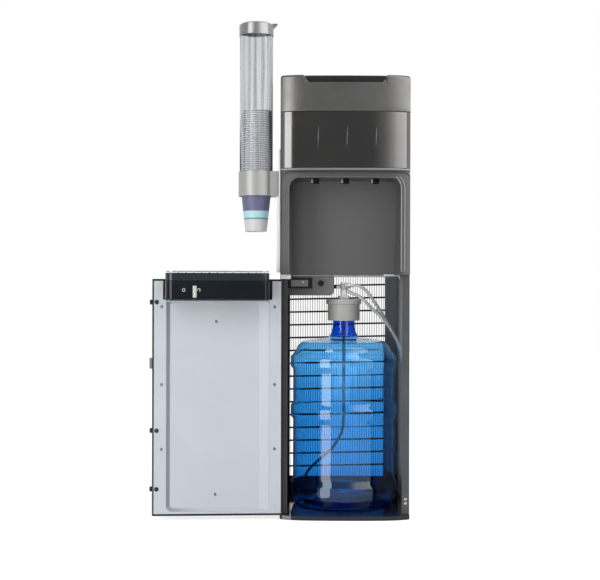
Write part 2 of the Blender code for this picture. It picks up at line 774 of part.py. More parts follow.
def slot(centre_x, centre_z, width, height):
    half_x, half_z = width / 2, height / 2
    return [
        (centre_x - half_x, centre_z - half_z),
        (centre_x + half_x, centre_z - half_z),
        (centre_x + half_x, centre_z + half_z),
        (centre_x - half_x, centre_z + half_z),
    ]


def make_rear_cover(black):
    """The upper back sheet with its louvres and the openings for what is screwed to it."""
    half = HALF_WIDTH - SHEET - REAR_COVER_SIDE_CLEARANCE
    bottom = DECK_TOP + SEAT_GAP
    outline = rounded_rectangle((-half, bottom), (half, PANEL_TOP), (0, 0, 0, 0))
    holes = []
    for row in range(LOUVRE_ROWS):
        for side in (-1, 1):
            z = LOUVRE_FIRST_Z + row * LOUVRE_PITCH
            holes.append(slot(side * LOUVRE_COLUMN_X, z, LOUVRE_WIDTH, LOUVRE_HEIGHT))
    inner_width = 2 * ROCKER_SPACING
    holes.append(slot(SWITCH_PLATE_X, SWITCH_PLATE_Z, inner_width, ROCKER_HEIGHT + SWITCH_PLATE_DEPTH))
    holes.append(ring((INLET_X, INLET_Z), INLET_RADIUS * NECK_SHARE + SEAT_GAP))
    holes.append(ring((DRAIN_X, DRAIN_Z), DRAIN_RADIUS * NECK_SHARE + SEAT_GAP))
    plate("rear_cover", outline, REAR_INSIDE_Y - SHEET, REAR_INSIDE_Y, black, holes, across="Y")


def make_top_cover(black):
    front = HOOD_BACK_Y + SEAT_GAP
    outline = rounded_rectangle(
        (-HALF_WIDTH, front), (HALF_WIDTH, BACK_Y), (0, 0, CORNER_RADIUS, CORNER_RADIUS)
    )
    cover = plate("top_cover", outline, CASE_HEIGHT - TOP_COVER_HEIGHT, CASE_HEIGHT, black)
    inner_width = CASE_WIDTH - 2 * MOULDING_WALL
    pocket = box(
        "top_cover_pocket",
        *spanning(
            inner_width,
            (front + MOULDING_WALL, CASE_HEIGHT - TOP_COVER_HEIGHT - OVERRUN),
            (BACK_Y - MOULDING_WALL, CASE_HEIGHT - MOULDING_WALL),
        ),
    )
    cut(cover, pocket)


def slope_box(name, half_width, length, low, high, middle_x=0, finish=None):
    """A box that lies in the fascia's slope, between two depths measured out of its face."""
    form = bmesh.new()
    bmesh.ops.create_cube(form, size=1)
    bmesh.ops.scale(form, vec=(2 * half_width, length, high - low), verts=form.verts)
    item = add(name, mesh_from(form, name), slope_point(middle_x, (low + high) / 2), finish)
    item.rotation_euler.x = SLOPE_ANGLE
    return item


def slope_point(x, out):
    """A point above the middle of the slope, out along its normal."""
    middle_y = FRONT_Y + FASCIA_SLOPE / 2
    middle_z = CASE_HEIGHT - FASCIA_SLOPE / 2
    return (x, middle_y - out * math.sin(SLOPE_ANGLE), middle_z + out * math.cos(SLOPE_ANGLE))


def make_fascia(silver):
    """The silver top moulding: a bowed front, a sloped edge for the buttons and a short hood."""
    fascia = plate(
        "front_fascia",
        bowed_outline(HALF_WIDTH, 0, HOOD_BACK_Y),
        FRAME_TOP + SEAT_GAP,
        CASE_HEIGHT,
        silver,
    )
    wide = CASE_WIDTH + 2 * OVERRUN
    under_hood = box(
        "under_hood",
        *spanning(
            wide,
            (LINER_INNER_Y, FRAME_TOP - OVERRUN),
            (HOOD_BACK_Y + OVERRUN, HOOD_UNDERSIDE),
        ),
    )
    slope = slope_box("fascia_slope", wide / 2, HOOD_DEPTH, 0, HOOD_DEPTH)
    low_pocket = plate(
        "fascia_pocket",
        bowed_outline(HALF_WIDTH - MOULDING_WALL, MOULDING_WALL, LINER_INNER_Y + OVERRUN),
        FRAME_TOP - OVERRUN,
        CASE_HEIGHT - FASCIA_SLOPE - MOULDING_WALL,
    )
    hood_pocket = plate(
        "hood_pocket",
        bowed_outline(
            HALF_WIDTH - MOULDING_WALL, FASCIA_SLOPE + MOULDING_WALL, HOOD_BACK_Y - MOULDING_WALL
        ),
        HOOD_UNDERSIDE - OVERRUN,
        CASE_HEIGHT - MOULDING_WALL,
    )
    bezel_slot = slope_box(
        "bezel_slot",
        BEZEL_HALF_WIDTH + SEAT_GAP,
        BEZEL_LENGTH + 2 * SEAT_GAP,
        -BEZEL_DEPTH - SEAT_GAP,
        OVERRUN,
    )
    cut(fascia, under_hood, slope, low_pocket, hood_pocket, bezel_slot)


def make_buttons(black, gloss):
    """The button bezel and its three buttons, which press in square to the slope."""
    bezel = slope_box("button_bezel", BEZEL_HALF_WIDTH, BEZEL_LENGTH, -BEZEL_DEPTH, 0, finish=black)
    hole_width = (2 * (BEZEL_HALF_WIDTH - BEZEL_RIM) - 2 * BUTTON_BAR) / 3
    hole_length = BEZEL_LENGTH - 2 * BEZEL_RIM
    for order, side in enumerate(("left", "centre", "right")):
        middle = (order - 1) * (hole_width + BUTTON_BAR)
        hole = slope_box(
            f"{side}_button_hole", hole_width / 2, hole_length, -BEZEL_DEPTH - OVERRUN, OVERRUN, middle
        )
        cut(bezel, hole)
        slope_box(
            f"button_{side}",
            hole_width / 2 - BUTTON_CLEARANCE,
            hole_length - 2 * BUTTON_CLEARANCE,
            BUTTON_PROUD - BUTTON_THICKNESS,
            BUTTON_PROUD,
            middle,
            gloss,
        )


def make_display(gloss):
    plate(
        "display_panel",
        bowed_band(DISPLAY_HALF_WIDTH, 0, DISPLAY_THICKNESS),
        DISPLAY_BOTTOM + SEAT_GAP,
        FRAME_TOP - SEAT_GAP,
        gloss,
    )


def niche_back(z):
    """The y of the niche's back wall, which leans in towards its foot."""
    share = (z - FRAME_BOTTOM) / (NICHE_TOP - FRAME_BOTTOM)
    return FRONT_Y + NICHE_BOTTOM_DEPTH + share * (NICHE_TOP_DEPTH - NICHE_BOTTOM_DEPTH)


def niche_narrowing(z):
    """The share of the niche's width that is left at its back wall, least at its foot."""
    share = (z - FRAME_BOTTOM) / (NICHE_TOP - FRAME_BOTTOM)
    taper = NICHE_BOTTOM_TAPER + share * (NICHE_TOP_TAPER - NICHE_BOTTOM_TAPER)
    return 1 - taper / NICHE_HALF_WIDTH


def lean_back(item, wall):
    """Moves a block's rear face onto the niche's narrower back wall, a wall thickness behind it."""
    for vertex in item.data.vertices:
        if vertex.co.y > 0:
            height = vertex.co.z + item.location.z
            vertex.co.x *= niche_narrowing(height)
            vertex.co.y = niche_back(height) + wall - item.location.y
    form = bmesh.new()
    form.from_mesh(item.data)
    bmesh.ops.triangulate(form, faces=form.faces)
    form.to_mesh(item.data)
    form.free()


def cheek_hollow(side, outer, back):
    """What is taken out of the frame beside the niche, behind a skin that follows the front."""
    inner = NICHE_HALF_WIDTH + NICHE_WALL
    outline = []
    for reach in (inner, (inner + outer) / 2, outer):
        outline.append((side * reach, front_line(reach) + FRAME_SKIN))
    outline += [(side * outer, back), (side * inner, back)]
    name = "left_cheek_hollow" if side < 0 else "right_cheek_hollow"
    return plate(name, outline[::side], FRAME_BOTTOM + MOULDING_WALL, NICHE_TOP)


def make_front_frame(grey):
    """The front moulding round the display and the niche, hollow behind."""
    back = LINER_INNER_Y
    below = FRAME_BOTTOM - OVERRUN
    frame = plate("front_frame", bowed_outline(HALF_WIDTH, 0, back), below, FRAME_TOP, grey)
    tunnel_width = 2 * (NICHE_HALF_WIDTH + NICHE_WALL)
    tunnel = box(
        "niche_tunnel",
        *spanning(
            tunnel_width,
            (back - DOOR_THICKNESS / 2, below - OVERRUN),
            (niche_back(FRAME_BOTTOM), NICHE_TOP + NICHE_WALL),
        ),
    )
    lean_back(tunnel, NICHE_WALL)
    opening_outline = rounded_rectangle(
        (-NICHE_HALF_WIDTH, below - 2 * OVERRUN),
        (NICHE_HALF_WIDTH, NICHE_TOP),
        (0, 0, NICHE_CORNER_RADIUS, NICHE_CORNER_RADIUS),
    )
    opening = plate(
        "niche_opening", opening_outline, FRONT_Y - OVERRUN, FRONT_Y + NICHE_TOP_DEPTH, across="Y"
    )
    lean_back(opening, 0)
    trim = box(
        "frame_trim",
        *spanning(
            CASE_WIDTH + 2 * OVERRUN,
            (FRONT_Y - OVERRUN, below - 3 * OVERRUN),
            (DECK_FRONT_Y + CASE_DEPTH / 2, FRAME_BOTTOM),
        ),
    )
    recess_inset = DISPLAY_THICKNESS + SEAT_GAP
    display_recess = plate(
        "display_recess",
        bowed_band(DISPLAY_HALF_WIDTH + SEAT_GAP, -OVERRUN, recess_inset),
        DISPLAY_BOTTOM,
        FRAME_TOP + OVERRUN,
    )
    hollow_half = HALF_WIDTH - MOULDING_WALL
    display_hollow = plate(
        "display_hollow",
        bowed_outline(hollow_half, recess_inset + MOULDING_WALL, back + OVERRUN),
        DISPLAY_BOTTOM - MOULDING_WALL,
        FRAME_TOP - MOULDING_WALL,
    )
    lintel_hollow = plate(
        "lintel_hollow",
        bowed_outline(hollow_half, FRAME_SKIN, back + OVERRUN),
        NICHE_TOP + NICHE_WALL,
        DISPLAY_BOTTOM - 2 * MOULDING_WALL,
    )
    valve_room = box(
        "valve_room",
        *spanning(
            2 * (NOZZLE_SPACING + VALVE_SIZE),
            (FRONT_Y + NOZZLE_SETBACK - VALVE_SIZE, LIP_GROOVE_TOP),
            (back + 2 * OVERRUN, DISPLAY_BOTTOM + MOULDING_WALL),
        ),
    )
    cheeks = [cheek_hollow(side, hollow_half, back + OVERRUN) for side in (-1, 1)]
    groove_rim = bowed_outline(HALF_WIDTH - LIP_GROOVE_DEPTH, LIP_GROOVE_DEPTH, back + OVERRUN)
    around = rounded_rectangle(
        (-HALF_WIDTH - OVERRUN, FRONT_Y - OVERRUN),
        (HALF_WIDTH + OVERRUN, back + 2 * OVERRUN),
        (0, 0, 0, 0),
    )
    groove = plate("lip_groove", around, LIP_GROOVE_BOTTOM, LIP_GROOVE_TOP, holes=[groove_rim])
    join(frame, tunnel)
    cut(frame, opening, trim, display_recess, display_hollow, lintel_hollow, valve_room)
    cut(frame, *cheeks, groove)
    for order in (-1, 0, 1):
        hole = cylinder(
            f"nozzle_hole_{order + 2}",
            NOZZLE_NECK_RADIUS + NOZZLE_CLEARANCE,
            (order * NOZZLE_SPACING, FRONT_Y + NOZZLE_SETBACK, NICHE_TOP - OVERRUN / 2),
            (order * NOZZLE_SPACING, FRONT_Y + NOZZLE_SETBACK, NICHE_TOP + OVERRUN),
        )
        cut(frame, hole)


def make_nozzles(black, white):
    """Three nozzles under the niche's roof, each with a valve on the neck that comes up through it."""
    seat = NICHE_TOP - SEAT_GAP
    neck_top = NICHE_TOP + NICHE_WALL + NOZZLE_NECK_LENGTH
    bottom = NICHE_TOP - NOZZLE_DROP
    for order, side in enumerate(("left", "centre", "right")):
        x = (order - 1) * NOZZLE_SPACING
        y = FRONT_Y + NOZZLE_SETBACK
        profile = [
            (NOZZLE_NECK_RADIUS, neck_top),
            (NOZZLE_NECK_RADIUS, seat),
            (NOZZLE_RADIUS, seat),
            (NOZZLE_RADIUS, (seat + bottom) / 2),
            (NOZZLE_TIP_RADIUS, bottom),
            (NOZZLE_BORE_RADIUS, bottom),
            (NOZZLE_BORE_RADIUS, neck_top),
        ]
        turned(f"nozzle_{side}", profile, (x, y, seat), black, 20)
        valve_bottom = neck_top + SEAT_GAP
        half = VALVE_SIZE / 2
        valve = box(
            f"valve_{side}",
            (x - half, y - half, valve_bottom),
            (x + half, y + half, valve_bottom + VALVE_HEIGHT),
            white,
        )
        port_z = valve_bottom + VALVE_HEIGHT / 2
        port = cylinder(
            f"valve_port_{side}",
            VALVE_STUB_RADIUS,
            (x, y, port_z),
            (x, y + VALVE_SIZE, port_z),
            steps=12,
        )
        join(valve, port)


def make_internals(steel, white, black, green):
    """What stands inside the upper housing: the shelf, both tanks, the compressor and the board."""
    floor = DECK_TOP + SEAT_GAP
    half, top, sheet = TANK_SHELF_HALF_WIDTH, TANK_SHELF_TOP, DECK_THICKNESS
    shelf_outline = [
        (-half, floor),
        (-half, top),
        (half, top),
        (half, floor),
        (half - sheet, floor),
        (half - sheet, top - sheet),
        (-half + sheet, top - sheet),
        (-half + sheet, floor),
    ]
    plate("tank_shelf", shelf_outline, TANK_SHELF_FRONT_Y, TANK_SHELF_BACK_Y, steel, across="Y")
    tanks = (
        ("cold_tank", COLD_TANK_X, COLD_TANK_Y, COLD_TANK_RADIUS, COLD_TANK_HEIGHT, white),
        ("hot_tank", HOT_TANK_X, HOT_TANK_Y, HOT_TANK_RADIUS, HOT_TANK_HEIGHT, steel),
    )
    for name, x, y, radius, height, finish in tanks:
        low = top + SEAT_GAP
        profile = [
            (0, low + height),
            (radius - TANK_SHOULDER, low + height),
            (radius, low + height - TANK_SHOULDER),
            (radius, low),
            (0, low),
        ]
        tank = turned(name, profile, (x, y, low), finish)
        port = cylinder(
            name + "_port",
            TANK_PORT_RADIUS,
            (x, y, low + height - TANK_SHOULDER),
            (x, y, low + height + TANK_PORT_LENGTH),
            steps=12,
        )
        join(tank, port)
    shell_bottom = floor + COMPRESSOR_FOOT / 2
    crown = COMPRESSOR_RADIUS / 3
    profile = [
        (0, floor + COMPRESSOR_HEIGHT),
        (COMPRESSOR_RADIUS - crown, floor + COMPRESSOR_HEIGHT - crown / 4),
        (COMPRESSOR_RADIUS, floor + COMPRESSOR_HEIGHT - crown),
        (COMPRESSOR_RADIUS, floor + crown),
        (COMPRESSOR_RADIUS - crown, shell_bottom),
        (0, shell_bottom),
    ]
    compressor = turned("compressor", profile, (COMPRESSOR_X, COMPRESSOR_Y, floor), black)
    reach = COMPRESSOR_RADIUS + COMPRESSOR_FOOT
    foot = box(
        "compressor_foot",
        (COMPRESSOR_X - reach, COMPRESSOR_Y - COMPRESSOR_RADIUS / 2, floor),
        (COMPRESSOR_X + reach, COMPRESSOR_Y + COMPRESSOR_RADIUS / 2, floor + COMPRESSOR_FOOT),
    )
    join(compressor, foot)
    board_front = BODY_FRONT_Y + SHEET + SEAT_GAP
    box(
        "control_board",
        *spanning(
            BOARD_WIDTH,
            (board_front, BOARD_Z),
            (board_front + BOARD_THICKNESS, BOARD_Z + BOARD_HEIGHT),
        ),
        green,
    )


def make_pump_housing(black, gloss, grey):
    """The box under the deck with the water pump, the door switch and the reset button."""
    front = PUMP_HOUSING_FRONT_Y
    back = front + PUMP_HOUSING_DEPTH
    top = DECK_UNDERSIDE - SEAT_GAP
    low, high = (PUMP_HOUSING_LEFT, PUMP_HOUSING_BOTTOM), (PUMP_HOUSING_RIGHT, top)
    outline = rounded_rectangle(low, high, (0, PUMP_HOUSING_CHAMFER, 0, 0), steps=3)
    housing = plate("pump_housing", outline, front, back, black, across="Y")
    wall = MOULDING_WALL
    inner = rounded_rectangle(
        (low[0] + wall, low[1] + wall),
        (high[0] - wall, top + OVERRUN),
        (0, PUMP_HOUSING_CHAMFER - wall, 0, 0),
        steps=3,
    )
    hollow = plate("pump_housing_hollow", inner, front + wall, back - wall, across="Y")
    pump_z = PUMP_HOUSING_BOTTOM + wall + SEAT_GAP + PUMP_RADIUS
    spigot_hole = cylinder(
        "pump_spigot_hole",
        SPIGOT_RADIUS + SEAT_GAP,
        (high[0] - OVERRUN, PUMP_Y, pump_z),
        (high[0] + OVERRUN, PUMP_Y, pump_z),
    )
    reset_hole = cylinder(
        "reset_button_hole",
        RESET_RADIUS + PADDLE_CLEARANCE,
        (RESET_CENTRE_X, front - OVERRUN, SWITCH_CENTRE_Z),
        (RESET_CENTRE_X, front + OVERRUN, SWITCH_CENTRE_Z),
    )
    cut(housing, hollow, spigot_hole, reset_hole)
    pump_right = high[0] - PUMP_HOUSING_CHAMFER - SEAT_GAP
    pump = cylinder(
        "water_pump",
        PUMP_RADIUS,
        (pump_right - PUMP_LENGTH, PUMP_Y, pump_z),
        (pump_right, PUMP_Y, pump_z),
        black,
        steps=20,
    )
    spigot = cylinder(
        "pump_spigot",
        SPIGOT_RADIUS,
        (pump_right - OVERRUN, PUMP_Y, pump_z),
        (high[0] + PUMP_SPIGOT_OUT, PUMP_Y, pump_z),
        steps=12,
    )
    join(pump, spigot)
    frame_back = front - SEAT_GAP
    frame_front = frame_back - SWITCH_DEPTH
    half_x, half_z = SWITCH_WIDTH / 2, SWITCH_HEIGHT / 2
    switch_outline = slot(SWITCH_CENTRE_X, SWITCH_CENTRE_Z, SWITCH_WIDTH, SWITCH_HEIGHT)
    window = slot(
        SWITCH_CENTRE_X,
        SWITCH_CENTRE_Z,
        2 * (half_x - 2 * SWITCH_RIM) + 2 * PADDLE_CLEARANCE,
        2 * (half_z - SWITCH_RIM) + 2 * PADDLE_CLEARANCE,
    )
    plate(
        "door_switch_frame", switch_outline, frame_front, frame_back, gloss, [window], across="Y"
    )
    paddle = slot(
        SWITCH_CENTRE_X, SWITCH_CENTRE_Z, SWITCH_WIDTH - 4 * SWITCH_RIM, SWITCH_HEIGHT - 2 * SWITCH_RIM
    )
    plate(
        "door_switch_paddle",
        paddle,
        frame_front - SEAT_GAP,
        frame_back - PADDLE_TRAVEL - SEAT_GAP,
        grey,
        across="Y",
    )
    reset_front = frame_front
    cylinder(
        "reset_button",
        RESET_RADIUS,
        (RESET_CENTRE_X, reset_front, SWITCH_CENTRE_Z),
        (RESET_CENTRE_X, reset_front + RESET_LENGTH, SWITCH_CENTRE_Z),
        gloss,
    )


def coil_points():
    """The condenser tube: level passes that climb to the right, joined by half turns."""
    points = []
    bend = COIL_PITCH / 2
    coil_y = comb_back() + SEAT_GAP + COIL_TUBE_RADIUS
    for order in range(COIL_PASSES):
        z = COIL_TOP_Z - order * COIL_PITCH
        side = 1 if order % 2 else -1
        for end in (side, -side):
            points.append((end * COIL_HALF_LENGTH, coil_y, z + end * COIL_RISE / 2))
        if order == COIL_PASSES - 1:
            break
        centre_x, centre_z = -side * COIL_HALF_LENGTH, z - side * COIL_RISE / 2 - bend
        for step in range(1, COIL_BEND_STEPS):
            turn = math.pi * step / COIL_BEND_STEPS
            points.append(
                (centre_x - side * bend * math.sin(turn), coil_y, centre_z + bend * math.cos(turn))
            )
    return points


def least_gap(route, radius):
    """The least gap between two passes of the bent tube, measured between points along it."""
    places = []
    travelled = 0.0
    for start, end in zip(route, route[1:]):
        start, end = Vector(start), Vector(end)
        run = (end - start).length
        steps = max(1, round(run / COIL_SAMPLE))
        for step in range(steps):
            places.append((travelled + run * step / steps, start.lerp(end, step / steps)))
        travelled += run
    half_turn = math.pi * COIL_PITCH / 2
    spans = []
    for order, (first_at, first) in enumerate(places):
        for second_at, second in places[order + 1 :]:
            if second_at - first_at > half_turn:
                spans.append((second - first).length)
    return min(spans) - 2 * radius


def comb_back():
    """The rear face of the condenser's wires."""
    return BACK_Y + 2 * SEAT_GAP + BRACKET_THICKNESS + COMB_WIRE


def make_condenser(black):
    """The wire comb and the serpentine tube behind it, on two brackets across the rear flanges."""
    route = coil_points()
    tube("condenser_coil", route, COIL_TUBE_RADIUS, black, sides=1)
    gap = least_gap(route, COIL_TUBE_RADIUS)
    print(f"condenser_coil: the least gap to itself is {gap * 1000:.2f} mm")
    half = (COMB_WIRES - 1) * COMB_PITCH / 2 + COMB_WIRE / 2
    top = COIL_TOP_Z + COMB_OVERHANG
    bottom = COIL_TOP_Z - (COIL_PASSES - 1) * COIL_PITCH - COMB_OVERHANG
    gap_height = (top - bottom - COMB_RAIL * COMB_RAILS) / (COMB_RAILS - 1)
    holes = []
    for wire in range(COMB_WIRES - 1):
        x = (wire + 1 - COMB_WIRES / 2) * COMB_PITCH
        for rail in range(COMB_RAILS - 1):
            z = bottom + COMB_RAIL + gap_height / 2 + rail * (gap_height + COMB_RAIL)
            holes.append(slot(x, z, COMB_PITCH - COMB_WIRE, gap_height))
    outline = slot(0, (top + bottom) / 2, 2 * half, top - bottom)
    back = comb_back()
    plate("condenser_wires", outline, back - COMB_WIRE, back, black, holes, across="Y")
    for name, side in (("left", -1), ("right", 1)):
        middle = side * BRACKET_X
        box(
            f"condenser_bracket_{name}",
            (middle - BRACKET_WIDTH / 2, BACK_Y + SEAT_GAP, bottom),
            (middle + BRACKET_WIDTH / 2, BACK_Y + SEAT_GAP + BRACKET_THICKNESS, top),
            black,
        )


def make_rear_fittings(black, gloss, red):
    """The two rear switches, the cable gland and the drain cap."""
    face = REAR_INSIDE_Y + SEAT_GAP
    holes = []
    for side in (-1, 1):
        centre = SWITCH_PLATE_X + side * ROCKER_SPACING / 2
        width = ROCKER_WIDTH + 2 * ROCKER_CLEARANCE
        height = ROCKER_HEIGHT + 2 * ROCKER_CLEARANCE
        holes.append(slot(centre, SWITCH_PLATE_Z, width, height))
    outline = slot(SWITCH_PLATE_X, SWITCH_PLATE_Z, SWITCH_PLATE_WIDTH, SWITCH_PLATE_HEIGHT)
    plate("switch_plate", outline, face, face + SWITCH_PLATE_DEPTH, gloss, holes, across="Y")
    rockers = (("cooling_switch", -1, black), ("heater_switch", 1, red))
    for name, side, finish in rockers:
        centre = SWITCH_PLATE_X + side * ROCKER_SPACING / 2
        rocker = box(
            name,
            (centre - ROCKER_WIDTH / 2, face - ROCKER_DEPTH / 2, SWITCH_PLATE_Z - ROCKER_HEIGHT / 2),
            (centre + ROCKER_WIDTH / 2, face + ROCKER_DEPTH / 2, SWITCH_PLATE_Z + ROCKER_HEIGHT / 2),
            finish,
        )
        rocker.rotation_euler.x = ROCKER_TILT
    inner = REAR_INSIDE_Y - SHEET - SEAT_GAP
    fittings = (
        ("power_inlet", INLET_X, INLET_Z, INLET_RADIUS, INLET_LENGTH, black),
        ("drain_plug", DRAIN_X, DRAIN_Z, DRAIN_RADIUS, DRAIN_LENGTH, gloss),
    )
    for name, x, z, radius, length, finish in fittings:
        flange = cylinder(name, radius, (x, face, z), (x, face + length, z), finish)
        neck = cylinder(
            name + "_neck",
            radius * NECK_SHARE,
            (x, inner - length / 2, z),
            (x, face + length / 2, z),
        )
        join(flange, neck)
        if name == "power_inlet":
            bore = cylinder(
                name + "_bore",
                INLET_BORE_RADIUS,
                (x, inner - length, z),
                (x, face + length + OVERRUN, z),
            )
            cut(flange, bore)


def make_hinges(steel):
    """The upper hinge plate with its pin, and the lower pin that stands in the base."""
    top = FRAME_BOTTOM - SEAT_GAP
    left = -HALF_WIDTH + SHEET
    front = HINGE_Y - 2 * HINGE_PIN_RADIUS
    upper = box(
        "upper_hinge",
        (left, front, top - HINGE_PLATE_THICKNESS),
        (left + HINGE_PLATE_REACH, LINER_INNER_Y, top),
        steel,
    )
    lip = box(
        "upper_hinge_lip",
        (left, front, top - HINGE_LIP_HEIGHT),
        (left + HINGE_PLATE_REACH, front + HINGE_LIP_THICKNESS, top - HINGE_PLATE_THICKNESS / 2),
    )
    pin = cylinder(
        "upper_hinge_pin",
        HINGE_PIN_RADIUS,
        (HINGE_X, HINGE_Y, DOOR_TOP - HINGE_PIN_LENGTH),
        (HINGE_X, HINGE_Y, top - HINGE_PLATE_THICKNESS / 2),
        steps=16,
    )
    join(upper, lip, pin)
    cylinder(
        "lower_hinge_pin",
        HINGE_PIN_RADIUS,
        (HINGE_X, HINGE_Y, BASE_HEIGHT - HINGE_PIN_LENGTH + SEAT_GAP),
        (HINGE_X, HINGE_Y, DOOR_BOTTOM + HINGE_PIN_LENGTH),
        steel,
        steps=16,
    )


def make_door(black, liner_white, rubber, grey):
    """The door's outer shell and its liner, with the bumpers and the strike on the free edge."""
    outline = bowed_outline(HALF_WIDTH, 0, LINER_INNER_Y)[2:]
    back_radius = DOOR_BACK_RADIUS
    back_x, back_y = HALF_WIDTH - back_radius, LINER_INNER_Y - back_radius
    outline += arc((back_x, back_y), back_radius, 0, 90, 3)
    outline += arc((-back_x, back_y), back_radius, 90, 180, 3)
    panel = plate("door_panel", outline, DOOR_BOTTOM, DOOR_TOP, black)
    pocket_half = HALF_WIDTH - DOOR_WALL
    pocket = plate(
        "door_pocket",
        bowed_outline(pocket_half, DOOR_SKIN, LINER_INNER_Y + OVERRUN),
        DOOR_BOTTOM + DOOR_WALL,
        DOOR_TOP - DOOR_WALL,
    )
    cut(panel, pocket)
    reach = HINGE_PIN_LENGTH + SEAT_GAP
    for name, low, high in (
        ("door_top_pin_hole", DOOR_TOP - reach, DOOR_TOP + OVERRUN),
        ("door_bottom_pin_hole", DOOR_BOTTOM - OVERRUN, DOOR_BOTTOM + reach),
    ):
        hole = cylinder(
            name, HINGE_PIN_RADIUS + HINGE_CLEARANCE, (HINGE_X, HINGE_Y, low), (HINGE_X, HINGE_Y, high)
        )
        cut(panel, hole)
    half = pocket_half - HINGE_CLEARANCE
    low_z = DOOR_BOTTOM + DOOR_WALL + HINGE_CLEARANCE
    high_z = DOOR_TOP - DOOR_WALL - HINGE_CLEARANCE
    liner_back = LINER_INNER_Y - LINER_THICKNESS
    edge_y = front_line(half) + DOOR_SKIN + HINGE_CLEARANCE
    outline = [
        (-half, edge_y),
        (-LINER_TURN_X, liner_back),
        (LINER_TURN_X, liner_back),
        (half, edge_y),
        (half, LINER_INNER_Y),
        (-half, LINER_INNER_Y),
    ]
    liner = plate("door_liner", outline, low_z, high_z, liner_white)
    notch = box(
        "tray_notch",
        *spanning(
            2 * TRAY_NOTCH_HALF_WIDTH,
            (liner_back - OVERRUN, LINER_STEP_TOP),
            (LINER_INNER_Y + OVERRUN, high_z + OVERRUN),
        ),
    )
    recess_outline = rounded_rectangle(
        (RECESS_LEFT_X, RECESS_BOTTOM),
        (RECESS_RIGHT_X, LINER_STEP_TOP + OVERRUN),
        (RECESS_CORNER, RECESS_CORNER, 0, 0),
    )
    recess = plate(
        "liner_recess",
        recess_outline,
        LINER_INNER_Y - RECESS_DEPTH,
        LINER_INNER_Y + OVERRUN,
        across="Y",
    )
    pin_relief = HINGE_PIN_RADIUS + 2 * HINGE_CLEARANCE
    for name, low, high in (
        ("liner_top_relief", DOOR_TOP - 2 * HINGE_PIN_LENGTH, DOOR_TOP),
        ("liner_bottom_relief", DOOR_BOTTOM, DOOR_BOTTOM + 2 * HINGE_PIN_LENGTH),
    ):
        relief = box(
            name,
            (-HALF_WIDTH, liner_back - OVERRUN, low),
            (HINGE_X + pin_relief, HINGE_Y + pin_relief, high),
        )
        cut(liner, relief)
    cut(liner, notch, recess)
    edge = HALF_WIDTH + SEAT_GAP
    middle_y = LINER_INNER_Y - BUMPER_RADIUS
    pieces = [panel, liner]
    for name, share in BUMPER_SHARES.items():
        z = DOOR_BOTTOM + share * DOOR_HEIGHT
        pieces.append(
            cylinder(
                f"bumper_{name}",
                BUMPER_RADIUS,
                (edge, middle_y, z),
                (edge + BUMPER_LENGTH, middle_y, z),
                rubber,
                top_radius=BUMPER_RADIUS - BUMPER_LENGTH / 2,
                steps=16,
            )
        )
    pieces.append(
        box(
            "latch_strike",
            (edge, middle_y - STRIKE_LENGTH / 2, STRIKE_Z - STRIKE_HEIGHT / 2),
            (edge + STRIKE_WIDTH, middle_y + STRIKE_LENGTH / 2, STRIKE_Z + STRIKE_HEIGHT / 2),
            grey,
        )
    )
    return pieces


def tray_outline(inset, front):
    """The drip tray in plan: straight towards the door, round corners towards the niche."""
    half = CRADLE_HALF_WIDTH - inset
    corner = CRADLE_CORNER - inset
    return rounded_rectangle(
        (-half, front), (half, LINER_INNER_Y + CRADLE_REACH - inset), (0, 0, corner, corner)
    )


def make_tray(gloss, steel):
    """The cradle on the door, the tray that lifts out of it and the tray's slotted cover."""
    notch = TRAY_NOTCH_HALF_WIDTH - HINGE_CLEARANCE
    back = LINER_INNER_Y - LINER_THICKNESS
    cradle = plate("tray_cradle", tray_outline(0, back), CRADLE_BOTTOM, CRADLE_TOP, gloss)
    backing = box(
        "cradle_backing",
        (-notch, back - SEAT_GAP, LINER_STEP_TOP + SEAT_GAP),
        (notch, LINER_INNER_Y, DOOR_TOP - DOOR_WALL - SEAT_GAP),
    )
    join(cradle, backing)
    wall_y = LINER_INNER_Y + CRADLE_WALL
    cavity = plate("cradle_cavity", tray_outline(CRADLE_WALL, wall_y), TRAY_FLOOR_Z, CRADLE_TOP + OVERRUN)
    cut(cradle, cavity)
    inset = CRADLE_WALL + TRAY_CLEARANCE
    tray = plate(
        "drip_tray",
        tray_outline(inset, wall_y + TRAY_CLEARANCE),
        TRAY_FLOOR_Z + SEAT_GAP,
        CRADLE_TOP + TRAY_WALL,
        gloss,
    )
    shelf = CRADLE_TOP + SEAT_GAP
    front = LINER_INNER_Y + 2 * SEAT_GAP
    collar = plate("drip_tray_collar", tray_outline(0, front), shelf, TRAY_RIM_TOP)
    join(tray, collar)
    bowl_inset = inset + TRAY_WALL
    bowl = plate(
        "drip_tray_bowl",
        tray_outline(bowl_inset, wall_y + TRAY_CLEARANCE + TRAY_WALL),
        TRAY_FLOOR_Z + SEAT_GAP + TRAY_WALL,
        TRAY_RIM_TOP + OVERRUN,
    )
    cut(tray, bowl)
    depth = CRADLE_REACH / 2
    holes = []
    for order in range(GRILLE_SLOTS):
        x = (order - (GRILLE_SLOTS - 1) / 2) * GRILLE_SLOT_PITCH
        middle = LINER_INNER_Y + depth
        holes.append(slot(x, middle, GRILLE_SLOT_WIDTH, GRILLE_SLOT_LENGTH))
    low = TRAY_RIM_TOP + SEAT_GAP
    grille = plate("drip_grille", tray_outline(SHEET, front), low, low + GRILLE_THICKNESS, steel, holes)
    return cradle, tray, grille


